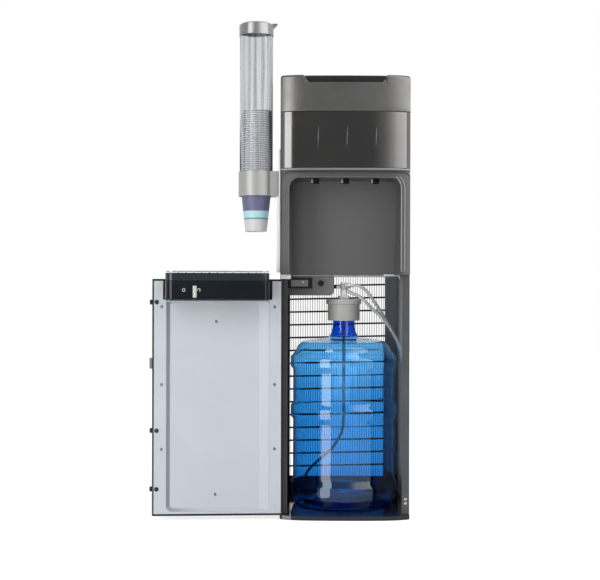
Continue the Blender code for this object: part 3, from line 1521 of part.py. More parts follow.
def bottle_profile():
    """Outer points of the bottle from its lip down to its push-up, as (radius, height)."""
    points = [(BOTTLE_NECK_RADIUS, BOTTLE_HEIGHT), (BOTTLE_NECK_RADIUS, BOTTLE_NECK_Z)]
    points += [(BOTTLE_THROAT_RADIUS, BOTTLE_THROAT_Z), (BOTTLE_SHOULDER_RADIUS, BOTTLE_SHOULDER_Z)]
    top_hoop = BOTTLE_HOOP_HEIGHTS[-1] + BOTTLE_HOOP_HALF
    points.append((BOTTLE_WAIST_RADIUS, (BOTTLE_SHOULDER_Z + top_hoop) / 2))
    for height in reversed(BOTTLE_HOOP_HEIGHTS):
        reach = BOTTLE_HOOP_HALF + BOTTLE_HOOP_SLOPE
        if height != BOTTLE_HOOP_HEIGHTS[-1]:
            points.append((BOTTLE_BODY_RADIUS, height + reach))
        points.append((BOTTLE_HOOP_RADIUS, height + BOTTLE_HOOP_HALF))
        points.append((BOTTLE_HOOP_RADIUS, height - BOTTLE_HOOP_HALF))
        if height != BOTTLE_HOOP_HEIGHTS[0]:
            points.append((BOTTLE_BODY_RADIUS, height - reach))
    heel = (BOTTLE_HOOP_RADIUS + BOTTLE_CONTACT_RADIUS) / 2
    points += [(heel, BOTTLE_PUSH_UP / 2), (BOTTLE_CONTACT_RADIUS, 0)]
    points.append((BOTTLE_CONTACT_RADIUS - BOTTLE_HOOP_HALF, BOTTLE_PUSH_UP / 2))
    return points


def make_bottle(blue):
    """A thin-walled returnable bottle with three hoops and a pushed-up base, open at its neck."""
    bottom = BASE_HEIGHT + SEAT_GAP
    outer = bottle_profile()
    inner = [(radius - BOTTLE_WALL, height) for radius, height in outer[:-2]]
    last_radius = BOTTLE_CONTACT_RADIUS - BOTTLE_HOOP_HALF
    inner.append((last_radius, BOTTLE_PUSH_UP / 2 + BOTTLE_WALL))
    profile = [(0, BOTTLE_PUSH_UP + BOTTLE_WALL)] + inner[::-1] + outer + [(0, BOTTLE_PUSH_UP)]
    placed = [(radius, bottom + height) for radius, height in profile]
    return turned("bottle", placed, (BOTTLE_X, BOTTLE_Y, bottom), blue, BOTTLE_STEPS)


def make_probe(pale, clear):
    """The collar over the bottle's neck, the elbow on it and the dip tube below."""
    bottle_top = BASE_HEIGHT + SEAT_GAP + BOTTLE_HEIGHT
    top = COLLAR_TOP
    flange_bottom = top - COLLAR_FLANGE
    skirt_bottom = bottle_top - COLLAR_SKIRT
    bore = BOTTLE_NECK_RADIUS + COLLAR_CLEARANCE
    pipe = DIP_TUBE_RADIUS + DIP_TUBE_CLEARANCE
    profile = [
        (COLLAR_FLANGE_RADIUS, top),
        (COLLAR_FLANGE_RADIUS, flange_bottom),
        (COLLAR_RADIUS, flange_bottom),
        (COLLAR_RADIUS, skirt_bottom),
        (bore, skirt_bottom),
        (bore, bottle_top + SEAT_GAP),
        (pipe, bottle_top + SEAT_GAP),
        (pipe, top),
    ]
    collar = turned("probe_collar", profile, (BOTTLE_X, BOTTLE_Y, bottle_top), pale, 32)
    seat = top + SEAT_GAP
    arm_z = ELBOW_TOP - ELBOW_RADIUS
    profile = [
        (0, ELBOW_TOP),
        (ELBOW_RADIUS - COLLAR_WALL, ELBOW_TOP),
        (ELBOW_RADIUS, ELBOW_TOP - COLLAR_WALL),
        (ELBOW_RADIUS, seat + ELBOW_BASE_HEIGHT),
        (ELBOW_BASE_RADIUS, seat + ELBOW_BASE_HEIGHT),
        (ELBOW_BASE_RADIUS, seat),
        (0, seat),
    ]
    elbow = turned("probe_elbow", profile, (BOTTLE_X, BOTTLE_Y, seat), clear, 20)
    arm_end = BOTTLE_X + ELBOW_RADIUS * 2
    arm = cylinder(
        "probe_arm",
        ELBOW_RADIUS - COLLAR_WALL / 2,
        (BOTTLE_X, BOTTLE_Y, arm_z),
        (arm_end, BOTTLE_Y, arm_z),
        steps=16,
    )
    spigot = cylinder(
        "probe_spigot",
        SPIGOT_RADIUS,
        (arm_end - SPIGOT_RADIUS, BOTTLE_Y, arm_z),
        (arm_end + SPIGOT_LENGTH / 2, BOTTLE_Y, arm_z),
        steps=12,
    )
    join(elbow, arm, spigot)
    route = [(BOTTLE_X, BOTTLE_Y, top - SEAT_GAP)]
    foot = BASE_HEIGHT + SEAT_GAP
    for across, up in DIP_TUBE_SHARES:
        route.append((BOTTLE_X + across * BOTTLE_BODY_RADIUS, BOTTLE_Y, foot + up * BOTTLE_HEIGHT))
    pipe_item = tube("dip_tube", smooth_route(route, DIP_TUBE_SPACING), DIP_TUBE_RADIUS, clear)
    return collar, elbow, pipe_item


def smooth_route(route, spacing):
    """Points at an even spacing along a smooth curve through the route's points."""
    knots = [Vector(place) for place in route]
    knots = [2 * knots[0] - knots[1]] + knots + [2 * knots[-1] - knots[-2]]
    fine = []
    for start in range(len(knots) - 3):
        before, first, second, after = knots[start : start + 4]
        for step in range(24):
            t = step / 24
            fine.append(
                0.5
                * (
                    2 * first
                    + (second - before) * t
                    + (2 * before - 5 * first + 4 * second - after) * t**2
                    + (3 * first - before - 3 * second + after) * t**3
                )
            )
    fine.append(knots[-2])
    length = sum((b - a).length for a, b in zip(fine, fine[1:]))
    pieces = max(2, round(length / spacing))
    points, travelled, wanted = [fine[0]], 0.0, length / pieces
    for a, b in zip(fine, fine[1:]):
        run = (b - a).length
        while run > 0 and travelled + run >= wanted and len(points) < pieces:
            points.append(a.lerp(b, (wanted - travelled) / run))
            wanted += length / pieces
        travelled += run
    points.append(fine[-1])
    return [tuple(point) for point in points]


def hose_route():
    """The suction hose, from the probe's spigot round the pocket at the right to the pump's spigot."""
    start_x = BOTTLE_X + ELBOW_RADIUS * 2 + SPIGOT_LENGTH / 2 + SEAT_GAP
    start = (start_x, BOTTLE_Y, ELBOW_TOP - ELBOW_RADIUS)
    pump_z = PUMP_HOUSING_BOTTOM + MOULDING_WALL + SEAT_GAP + PUMP_RADIUS
    end = (PUMP_HOUSING_RIGHT + PUMP_SPIGOT_OUT + SEAT_GAP, PUMP_Y, pump_z)
    after_start = (start[0] + HOSE_LEAD, *start[1:])
    before_end = (end[0] + HOSE_LEAD, *end[1:])
    return [start, after_start, *HOSE_ROUTE, before_end, end]


def make_hose(silicone):
    return tube("suction_hose", smooth_route(hose_route(), HOSE_SPACING), HOSE_RADIUS, silicone)


def dispenser_centre():
    return -(HALF_WIDTH + DISPENSER_OFFSET), DISPENSER_Y


def make_cup_holder(silver, pale, clear):
    """The side rail, the holder on it, the clear tube that stands in the holder and the tube's lid."""
    x, y = dispenser_centre()
    wall_side = -(HALF_WIDTH + SEAT_GAP)
    rail_outline = [
        (wall_side, RAIL_BOTTOM),
        (wall_side, RAIL_TOP),
        (wall_side - RAIL_THIN, RAIL_TOP),
        (wall_side - RAIL_THIN, HOLDER_BOTTOM - SEAT_GAP),
        (wall_side - RAIL_THICK, HOLDER_BOTTOM - SEAT_GAP),
        (wall_side - RAIL_THICK, RAIL_BOTTOM),
    ]
    half_width = RAIL_WIDTH / 2
    plate("holder_rail", rail_outline, y - half_width, y + half_width, pale, across="Y")
    holder = cylinder(
        "cup_holder", HOLDER_RADIUS, (x, y, HOLDER_BOTTOM), (x, y, HOLDER_TOP), silver, steps=32
    )
    block = box(
        "cup_holder_block",
        (x, y - HOLDER_BLOCK_DEPTH / 2, HOLDER_BOTTOM),
        (wall_side - RAIL_THIN - SEAT_GAP, y + HOLDER_BLOCK_DEPTH / 2, HOLDER_TOP),
    )
    lip_low = CUP_FIRST_RIM_Z + SEAT_GAP
    lip_high = CUP_FIRST_RIM_Z + CUP_PITCH - CUP_RIM_HEIGHT - SEAT_GAP
    lip_radius = (CUP_TOP_RADIUS + CUP_RIM_RADIUS) / 2
    seat = TUBE_BOTTOM - SEAT_GAP
    bore_profile = [
        (0, HOLDER_TOP + OVERRUN),
        (TUBE_RADIUS + SEAT_GAP, HOLDER_TOP + OVERRUN),
        (TUBE_RADIUS + SEAT_GAP, seat),
        (HOLDER_BORE_RADIUS, seat),
        (HOLDER_BORE_RADIUS, lip_high),
        (lip_radius, lip_high),
        (lip_radius, lip_low),
        (HOLDER_BORE_RADIUS, lip_low),
        (HOLDER_BORE_RADIUS, HOLDER_BOTTOM - OVERRUN),
        (0, HOLDER_BOTTOM - OVERRUN),
    ]
    bore = turned("cup_holder_bore", bore_profile, (x, y, HOLDER_BOTTOM), steps=32)
    join(holder, block)
    cut(holder, bore)
    inner = TUBE_RADIUS - TUBE_WALL
    tube_profile = [
        (TUBE_RADIUS, TUBE_TOP),
        (TUBE_RADIUS, TUBE_BOTTOM),
        (inner, TUBE_BOTTOM),
        (inner, TUBE_TOP),
    ]
    turned("cup_tube", tube_profile, (x, y, TUBE_BOTTOM), clear, 32)
    fit = TUBE_RADIUS + SEAT_GAP
    lid_profile = [
        (0, LID_TOP),
        (LID_RADIUS - LID_DOME, LID_TOP - LID_DOME / 3),
        (LID_RADIUS, LID_TOP - LID_DOME),
        (LID_RADIUS, LID_BOTTOM),
        (fit, LID_BOTTOM),
        (fit, TUBE_TOP + SEAT_GAP),
        (inner, TUBE_TOP + SEAT_GAP),
        (inner, LID_TOP - LID_DOME - LID_WALL),
        (0, LID_TOP - LID_DOME - LID_WALL),
    ]
    lid = turned("tube_lid", lid_profile, (x, y, LID_TOP), silver, 32)
    tab_top = LID_TOP - LID_WALL
    tab = box(
        "tube_lid_tab",
        (x + inner, y - LID_TAB_WIDTH / 2, tab_top - LID_TAB_HEIGHT),
        (x + LID_RADIUS + LID_TAB_REACH, y + LID_TAB_WIDTH / 2, tab_top),
    )
    for vertex in tab.data.vertices:
        if vertex.co.x > 0 and vertex.co.z < 0:
            vertex.co.x -= LID_TAB_REACH
    join(lid, tab)
    return lid


def cup_radius(height):
    """The outer radius of a cup at a height above its base."""
    return CUP_BOTTOM_RADIUS + (CUP_TOP_RADIUS - CUP_BOTTOM_RADIUS) * height / CUP_HEIGHT


def make_cups(paper):
    """The lowest cup, which is pulled down, and the stack nested above it."""
    x, y = dispenser_centre()
    base = CUP_FIRST_RIM_Z - CUP_HEIGHT
    rim_low = CUP_HEIGHT - CUP_RIM_HEIGHT
    cup = [
        (0, CUP_RIM_HEIGHT),
        (cup_radius(CUP_RIM_HEIGHT) - CUP_WALL, CUP_RIM_HEIGHT),
        (cup_radius(CUP_HEIGHT) - CUP_WALL, CUP_HEIGHT),
        (CUP_RIM_RADIUS, CUP_HEIGHT),
        (CUP_RIM_RADIUS, rim_low),
        (cup_radius(rim_low), rim_low),
        (CUP_BOTTOM_RADIUS, 0),
        (0, 0),
    ]
    lowest = turned(
        "bottom_cup", [(radius, base + z) for radius, z in cup], (x, y, base), paper, CUP_STEPS
    )
    base += CUP_PITCH
    climb = (CUP_STACK_COUNT - 1) * CUP_PITCH
    stack = [(radius, base + climb + z) for radius, z in cup[:4]]
    for order in reversed(range(1, CUP_STACK_COUNT)):
        rim_z = base + order * CUP_PITCH + rim_low
        stack.append((CUP_RIM_RADIUS, rim_z))
        stack.append((CUP_TOP_RADIUS, rim_z - (CUP_PITCH - CUP_RIM_HEIGHT) / 2))
    stack.append((CUP_RIM_RADIUS, base + CUP_HEIGHT))
    stack += [(radius, base + z) for radius, z in cup[4:]]
    turned("cup_stack", stack, (x, y, base), paper, CUP_STEPS)
    return lowest


def main():
    clear_scene()
    make_collections()
    black = material("black_sheet", (0.030, 0.032, 0.035), 0.45)
    gloss = material("gloss_black", (0.012, 0.013, 0.016), 0.12)
    grey = material("graphite_moulding", (0.155, 0.155, 0.160), 0.38, 0.35)
    silver = material("satin_silver", (0.360, 0.355, 0.355), 0.32, 0.85)
    steel = material("bare_steel", (0.560, 0.560, 0.560), 0.30, 0.90)
    white = material("white_foam", (0.800, 0.800, 0.780), 0.80)
    green = material("board_green", (0.050, 0.220, 0.110), 0.55)
    red = material("switch_red", (0.550, 0.030, 0.025), 0.35)
    liner_white = material("liner_pale_grey", (0.560, 0.590, 0.640), 0.50)
    rubber = material("black_rubber", (0.020, 0.020, 0.020), 0.75)
    blue = material("blue_bottle", (0.010, 0.160, 0.600), 0.06, alpha=0.55)
    pale = material("pale_plastic", (0.330, 0.330, 0.300), 0.45)
    clear = material("clear_plastic", (0.800, 0.820, 0.840), 0.08, alpha=0.45)
    paper = material("cup_paper", (0.830, 0.840, 0.850), 0.60)

    make_base(black)
    make_side_panels(black)
    make_deck(steel)
    make_rear_cover(black)
    make_top_cover(black)
    make_fascia(silver)
    make_buttons(black, gloss)
    make_display(gloss)
    make_front_frame(grey)
    make_nozzles(black, white)
    make_internals(steel, white, black, green)
    make_pump_housing(black, gloss, grey)
    make_condenser(black)
    make_rear_fittings(black, gloss, red)
    make_hinges(steel)

    door_pieces = make_door(black, liner_white, rubber, grey)
    tray_pieces = make_tray(gloss, steel)
    bottle = make_bottle(blue)
    probe = make_probe(pale, clear)
    make_hose(clear)
    make_cup_holder(silver, pale, clear)
    make_cups(paper)

    for piece in probe:
        carry(piece, bottle)
    door_pivot = pivot("door_pivot", (HINGE_X, HINGE_Y, DOOR_BOTTOM))
    for piece in (*door_pieces, *tray_pieces):
        carry(piece, door_pivot)
    door_pivot.rotation_euler.z = -DOOR_OPEN_ANGLE


main()
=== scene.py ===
import json
import math

import bmesh
import bpy
from mathutils import Matrix, Vector
from mathutils.bvhtree import BVHTree

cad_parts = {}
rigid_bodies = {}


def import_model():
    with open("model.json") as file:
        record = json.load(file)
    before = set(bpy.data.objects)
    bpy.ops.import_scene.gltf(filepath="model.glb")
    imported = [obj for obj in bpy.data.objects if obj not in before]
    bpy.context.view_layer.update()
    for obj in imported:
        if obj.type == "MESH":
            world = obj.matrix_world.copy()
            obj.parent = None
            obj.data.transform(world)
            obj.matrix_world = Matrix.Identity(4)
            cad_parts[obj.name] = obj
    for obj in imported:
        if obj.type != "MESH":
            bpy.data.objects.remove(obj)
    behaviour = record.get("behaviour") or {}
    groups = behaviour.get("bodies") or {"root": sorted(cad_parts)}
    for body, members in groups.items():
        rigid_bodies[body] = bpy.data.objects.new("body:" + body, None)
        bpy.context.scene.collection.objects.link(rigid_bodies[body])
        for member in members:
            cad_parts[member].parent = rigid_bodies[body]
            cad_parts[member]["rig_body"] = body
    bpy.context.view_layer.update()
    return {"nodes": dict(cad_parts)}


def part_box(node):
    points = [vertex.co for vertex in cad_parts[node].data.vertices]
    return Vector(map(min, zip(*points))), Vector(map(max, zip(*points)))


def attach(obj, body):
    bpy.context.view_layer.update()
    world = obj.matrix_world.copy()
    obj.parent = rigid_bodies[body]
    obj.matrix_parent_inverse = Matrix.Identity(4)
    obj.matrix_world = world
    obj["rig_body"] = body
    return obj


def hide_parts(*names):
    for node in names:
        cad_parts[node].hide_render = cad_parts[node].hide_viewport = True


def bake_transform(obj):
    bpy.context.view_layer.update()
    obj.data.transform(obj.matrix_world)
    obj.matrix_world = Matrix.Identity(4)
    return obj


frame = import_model()

# Lengths are in metres. The cooler stands on the floor at z = 0 and faces towards -y
HALF_WIDTH = 0.155
FRONT_Y = -0.180
FRONT_BOW = 0.004
EDGE_BOW = 0.015
EDGE_BOW_POWER = 6
BOTTLE_AXIS = (0.003, -0.002)
BOTTLE_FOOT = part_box("bottle")[0].z
BOTTLE_HEIGHT = 0.489
HINGE_X = -0.1515
HINGE_Y = -0.158
DOOR_TURN = math.radians(-177)
LINER_FACE_Y = -0.1500
CUP_HEIGHT = 0.095
CUP_PITCH = 0.0053
CUP_COUNT = 37
CUP_AXIS = (-0.2145, -0.120)

CAMERA_PLACE = (-0.1076, -2.78, 0.5463)
CAMERA_LENS = 65.93
CAMERA_SENSOR = 36
CAMERA_NEAR = 0.05
CAMERA_LEAN = math.radians(-0.15)

UPRIGHT = math.radians(90)


def added(name, data):
    """A new object in the scene."""
    item = bpy.data.objects.new(name, data)
    bpy.context.scene.collection.objects.link(item)
    return item


# Camera
def make_camera():
    """The camera looks level from 2.6 m in front of the cabinet, and leans a little to one side."""
    data = bpy.data.cameras.new("studio_camera")
    data.lens = CAMERA_LENS
    data.sensor_width = CAMERA_SENSOR
    data.clip_start = CAMERA_NEAR
    camera = added("studio_camera", data)
    camera.location = CAMERA_PLACE
    camera.rotation_euler = (UPRIGHT, CAMERA_LEAN, 0)
    bpy.context.scene.camera = camera


make_camera()


# Nodes and finishes
class Nodes:
    """Short ways to add nodes to a tree and to join them."""

    def __init__(self, tree):
        self.tree = tree

    def feed(self, socket, value):
        """Links another node's output to a socket, or sets the socket to a constant."""
        if isinstance(value, bpy.types.NodeSocket):
            self.tree.links.new(value, socket)
        else:
            socket.default_value = value

    def node(self, kind, **values):
        """A new node, whose inputs are named by the values' names."""
        node = self.tree.nodes.new(kind)
        for name, value in values.items():
            self.feed(node.inputs[name.replace("_", " ")], value)
        return node

    def calc(self, first, second, operation="ADD"):
        """Two numbers put together, by a sum if no other operation is named."""
        node = self.node("ShaderNodeMath")
        node.operation = operation
        self.feed(node.inputs[0], first)
        self.feed(node.inputs[1], second)
        return node.outputs[0]

    def spread(self, source, low, high, start=0.3, end=0.7):
        """The source's range from start to end, laid out from low to high."""
        ends = {"From_Min": start, "From_Max": end, "To_Min": low, "To_Max": high}
        return self.node("ShaderNodeMapRange", Value=source, **ends).outputs["Result"]

    def tones(self, source, *stops, smooth=True):
        """Colours from (place, colour) stops. One number stands for a grey."""
        node = self.node("ShaderNodeValToRGB", Fac=source)
        ramp = node.color_ramp
        ramp.interpolation = "LINEAR" if smooth else "CONSTANT"
        while len(ramp.elements) < len(stops):
            ramp.elements.new(0.5)
        for element, (place, colour) in zip(ramp.elements, stops):
            element.position = place
            element.color = (*rgb(colour), 1)
        return node.outputs["Color"]

    def mix(self, share, first, second):
        """A number between two others."""
        node = self.node("ShaderNodeMix")
        for order, value in ((0, share), (2, first), (3, second)):
            self.feed(node.inputs[order], value)
        return node.outputs[0]


def rgb(colour):
    return colour if isinstance(colour, tuple) else (colour,) * 3


class Finish(Nodes):
    """A material whose shader is fed by patterns that lie on the piece."""

    def __init__(self, name, colour, roughness, metallic=0.0, **constants):
        self.material = bpy.data.materials.new(name)
        self.material.use_nodes = True
        super().__init__(self.material.node_tree)
        self.shader = self.tree.nodes["Principled BSDF"]
        constants |= {"Base Color": (*rgb(colour), 1), "Roughness": roughness, "Metallic": metallic}
        for label, value in constants.items():
            self.feed(self.shader.inputs[label.replace("_", " ")], value)
        self.place = self.node("ShaderNodeTexCoord").outputs["Object"]

    def stretched(self, scale):
        """The piece's own coordinates, stretched."""
        return self.node("ShaderNodeMapping", Vector=self.place, Scale=scale).outputs["Vector"]

    def noise(self, scale, detail=2, along=None, roughness=0.5):
        along = along or self.place
        values = {"Vector": along, "Scale": scale, "Detail": detail, "Roughness": roughness}
        return self.node("ShaderNodeTexNoise", **values).outputs["Fac"]

    def cells(self, scale):
        """A number for each crystal or flake."""
        cells = self.node("ShaderNodeTexVoronoi", Vector=self.place, Scale=scale)
        return self.axis("X", cells.outputs["Color"])

    def axis(self, letter, along=None):
        return self.node("ShaderNodeSeparateXYZ", Vector=along or self.place).outputs[letter]

    def across(self, letter, *span):
        """From 0 to 1 between two places on an axis."""
        return self.spread(self.axis(letter), 0, 1, *span)

    def both(self, first, second):
        return self.calc(first, second, "MULTIPLY")

    def made(self, tone, grain, gloss, relief, height, strength=1.0):
        """Feeds the shader with a colour, a roughness that follows a grain, and a relief in metres."""
        bump = self.node("ShaderNodeBump", Strength=strength, Distance=height, Height=relief)
        if tone is not None:
            self.feed(self.shader.inputs["Base Color"], tone)
        self.feed(self.shader.inputs["Roughness"], self.spread(grain, *gloss))
        self.feed(self.shader.inputs["Normal"], bump.outputs["Normal"])
        return self.material


def painted(name, dark, light, rough, grain=1400, height=0.00001, **constants):
    """A sprayed or moulded surface: its tone drifts a little and a fine grain breaks up its gloss."""
    finish = Finish(name, light, rough, **constants)
    tone = finish.tones(finish.noise(9, 3), (0.3, dark), (0.7, light))
    return finish.made(tone, finish.noise(60, 4), (rough - 0.04, rough + 0.05), finish.noise(grain), height)


def brushed(name, dark, light, rough, stretch, grain=500):
    """Metal with fine lines along one way."""
    finish = Finish(name, light, rough, 1.0)
    lines = finish.noise(grain, 3, finish.stretched(stretch), 0.65)
    tone = finish.tones(lines, (0.35, dark), (0.65, light))
    return finish.made(tone, lines, (rough - 0.06, rough + 0.1), lines, 0.000008)


def flaked(name, dark, light, rough, coat, metallic=0.85):
    """Silver or graphite paint: fine metal flakes under a clear coat."""
    finish = Finish(name, light, rough, metallic, Coat_Weight=coat, Coat_Roughness=0.16)
    tone = finish.tones(finish.cells(2600), (0.0, dark), (1.0, light))
    return finish.made(tone, finish.noise(30, 3), (rough - 0.03, rough + 0.04), finish.noise(900), 0.000006)


def plated(name, dark, light, rough, grain=90):
    """Bright plated steel with the soft unevenness of a pressing."""
    finish = Finish(name, light, rough, 1.0)
    drift = finish.noise(grain, 3)
    tone = finish.tones(drift, (0.3, dark), (0.7, light))
    return finish.made(tone, drift, (rough - 0.06, rough + 0.08), drift, 0.00006)


def clear_plastic(name, colour, rough, wave=0.00006):
    """A clear moulding with the faint lines of its extrusion."""
    finish = Finish(name, colour, rough, Transmission_Weight=1.0, IOR=1.47)
    lines = finish.noise(90, 3, finish.stretched((1, 1, 0.02)))
    return finish.made(None, lines, (max(rough - 0.02, 0.01), rough + 0.05), lines, wave, 0.6)


def galvanised():
    """Zinc-coated sheet with its crystal pattern."""
    finish = Finish("galvanised_sheet", (0.5, 0.51, 0.52), 0.42, 1.0)
    crystals = finish.cells(160)
    tone = finish.tones(crystals, (0, (0.36, 0.37, 0.38)), (1, (0.58, 0.59, 0.60)))
    return finish.made(tone, crystals, (0.34, 0.52, 0, 1), finish.noise(700), 0.000008)


def bottle_blue():
    """Clear blue polycarbonate, deeper in the thick neck and foot than in the wall."""
    finish = Finish("clear_blue_polycarbonate", (0.30, 0.52, 0.80), 0.02, Transmission_Weight=1.0, IOR=1.5)
    height = finish.calc(finish.axis("Z"), BOTTLE_FOOT, "SUBTRACT")
    tone = finish.tones(
        finish.calc(height, BOTTLE_HEIGHT, "DIVIDE"),
        (0.00, (0.03, 0.24, 0.62)),
        (0.09, (0.07, 0.36, 0.72)),
        (0.16, (0.12, 0.45, 0.79)),
        (0.60, (0.17, 0.52, 0.84)),
        (0.82, (0.36, 0.71, 0.98)),
        (0.848, (0.55, 0.78, 0.96)),
        (0.862, (0.06, 0.26, 0.80)),
        (1.00, (0.02, 0.20, 0.80)),
    )
    return finish.made(tone, finish.noise(14, 4), (0.01, 0.05), finish.noise(22), 0.00016, 0.5)


def cup_card():
    """White card with plain printed bands below the rim of the lowest cup."""
    finish = Finish("printed_cup_card", (0.82, 0.83, 0.84), 0.45)
    depth = finish.calc(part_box("bottom_cup")[1].z, finish.axis("Z"), "SUBTRACT")
    tone = finish.tones(
        finish.calc(depth, CUP_HEIGHT, "DIVIDE"),
        (0.000, (0.56, 0.57, 0.59)),
        (0.105, (0.110, 0.112, 0.205)),
        (0.485, (0.390, 0.610, 0.640)),
        (0.660, (0.080, 0.300, 0.330)),
        (0.700, (0.53, 0.54, 0.56)),
        smooth=False,
    )
    return finish.made(tone, finish.noise(120, 3), (0.38, 0.5), finish.noise(600, 3), 0.00002)


def shaded_cup_stack_card():
    """White card with near-white rims, and painted shade in the gap that lies under each of them."""
    finish = Finish("stacked_cup_card_painted_shade", (0.80, 0.80, 0.82), 0.5)
    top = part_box("cup_stack")[1].z + 0.0002
    depth = finish.calc(top, finish.axis("Z"), "SUBTRACT")
    # Painted shade: the card between the rims is painted grey.
    share = finish.calc(finish.calc(depth, CUP_PITCH, "DIVIDE"), 1.0, "MODULO")
    light = ((0.0, 0.98), (0.34, (0.92, 0.92, 0.925)))
    shade = ((0.46, (0.42, 0.42, 0.425)), (1.0, (0.54, 0.54, 0.545)))
    tone = finish.tones(share, *light, *shade)
    return finish.made(tone, finish.noise(200), (0.4, 0.55), finish.noise(700), 0.00001)


def fluted_tube():
    """Smoky clear tube with the upright streaks of its extrusion."""
    finish = Finish("smoky_clear_tube", (0.80, 0.80, 0.84), 0.10, Transmission_Weight=1.0, IOR=1.18)
    streaks = finish.noise(170, 3, finish.stretched((1, 1, 0.01)), 0.7)
    stops = ((0.36, (0.49, 0.50, 0.53)), (0.50, (0.74, 0.75, 0.77)), (0.64, (0.93, 0.93, 0.94)))
    return finish.made(finish.tones(streaks, *stops), streaks, (0.05, 0.16), streaks, 0.00003, 0.6)


def smoked_panel():
    """A smoked mirror: dark, but it shows the studio's lamps at its curved edges."""
    finish = Finish("smoked_panel", (0.135, 0.128, 0.128), 0.10, 1.0)
    tone = finish.tones(finish.noise(7, 3), (0.3, (0.122, 0.118, 0.118)), (0.7, (0.142, 0.139, 0.136)))
    return finish.made(tone, finish.noise(25, 3), (0.08, 0.13), finish.noise(220), 0.000004)


def lit_inner_sheet():
    """Black sheet paint that is a lighter dark grey inside the bay: painted light on the panel's inner
    face, which faces the lamp at the left.
    """
    finish = Finish("inner_sheet_painted_light", (0.07, 0.07, 0.075), 0.44)
    # Painted light: the mask below makes the panel's face inside the bay lighter.
    inside = finish.both(finish.across("Y", -0.149, -0.135), finish.across("X", 0.1547, 0.1539))
    grain = finish.noise(30, 3)
    shade = finish.calc(inside, finish.spread(grain, -0.04, 0.04))
    tone = finish.tones(shade, (0.0, (0.060, 0.061, 0.064)), (1.0, (0.310, 0.308, 0.322)))
    return finish.made(tone, grain, (0.40, 0.50), finish.noise(500), 0.00003)


def base_black_with_painted_light():
    """Glossy black moulding, whose low rear wall is duller and painted a pale blue in the middle, behind
    the bottle: painted light for the light that comes through the bottle's foot.
    """
    finish = Finish("base_tray_black_painted_light", (0.012, 0.013, 0.015), 0.08)
    rear = finish.both(finish.across("Y", 0.1690, 0.1745), finish.across("Y", 0.1776, 0.1758))
    sides = finish.both(finish.across("X", -0.126, -0.112), finish.across("X", 0.118, 0.104))
    # Painted light: the rear wall behind the bottle is painted pale blue.
    tone = finish.tones(finish.both(rear, sides), (0.0, (0.010, 0.011, 0.013)), (1.0, (0.34, 0.40, 0.46)))
    gloss = finish.calc(finish.both(rear, 0.5), finish.spread(finish.noise(60, 3), 0.05, 0.10))
    return finish.made(tone, gloss, (0, 1, 0, 1), finish.noise(700), 0.000006)


def frame_graphite_with_painted_shade():
    """Graphite paint, darker on the flat front of the frame, with painted shade at the left of the niche,
    where the lamp at the left doesn't reach.
    """
    finish = Finish("frame_graphite_painted_shade", 0.115, 0.50, 0.25)
    grain = finish.noise(900, 3)
    # Painted shade: the mask below darkens the niche's left side.
    inside = finish.both(finish.across("Y", -0.176, -0.163), finish.across("X", -0.128, -0.098))
    shade = finish.calc(inside, finish.spread(grain, -0.12, 0.12))
    tone = finish.tones(shade, (0.0, 0.062), (1.0, 0.112))
    return finish.made(tone, grain, (0.46, 0.56), grain, 0.000006)


def shaded_ramp_sheet():
    """The liner's paint on the slanted sides of its recess, a darker blue-grey than the liner, with painted
    shade that deepens towards the free edge of the door.
    """
    finish = Finish("liner_ramp_painted_shade", (0.5, 0.53, 0.57), 0.42)
    stops = ((0.0, (0.200, 0.235, 0.280)), (0.6, (0.42, 0.455, 0.495)), (1.0, (0.46, 0.495, 0.535)))
    # Painted shade: the slanted sides are darker, most of all towards the free edge.
    tone = finish.tones(finish.across("X", -0.425, -0.330), *stops)
    return finish.made(tone, finish.noise(60, 4), (0.38, 0.47), finish.noise(300), 0.00003)


def shaded_housing_grey():
    """Dark grey moulding, with painted shade that darkens it towards the hinge side."""
    finish = Finish("housing_moulding_painted_shade", 0.11, 0.46)
    grain = finish.noise(40, 3)
    # Painted shade: darker towards the hinge side.
    shade = finish.calc(finish.across("X", -0.145, -0.03), finish.spread(grain, -0.05, 0.05))
    tone = finish.tones(shade, (0.0, 0.050), (1.0, (0.150, 0.150, 0.148)))
    return finish.made(tone, grain, (0.42, 0.52), finish.noise(1200), 0.00001)


def floor_white():
    """White that glows a little for the camera, so that the floor ends in the white behind it."""
    finish = Finish("floor_white", 0.86, 0.9)
    rays = finish.node("ShaderNodeLightPath").outputs
    seen = finish.calc(rays["Is Camera Ray"], rays["Is Transmission Ray"], "MAXIMUM")
    seen = finish.calc(seen, rays["Is Glossy Ray"], "MAXIMUM")
    glow = finish.node("ShaderNodeEmission", Color=(1, 1, 1, 1), Strength=finish.both(seen, 0.62))
    both = finish.node("ShaderNodeAddShader")
    finish.feed(both.inputs[0], finish.shader.outputs[0])
    finish.feed(both.inputs[1], glow.outputs[0])
    finish.feed(finish.tree.nodes["Material Output"].inputs["Surface"], both.outputs[0])
    return finish.material


SHEET = {"grain": 500, "height": 0.00003}
BLACK_MOULDING = painted("black_moulding", (0.010, 0.011, 0.012), (0.016, 0.017, 0.018), 0.30)
BLACK_SHEET = painted("black_sheet_paint", (0.060, 0.061, 0.064), (0.076, 0.077, 0.081), 0.44, **SHEET)
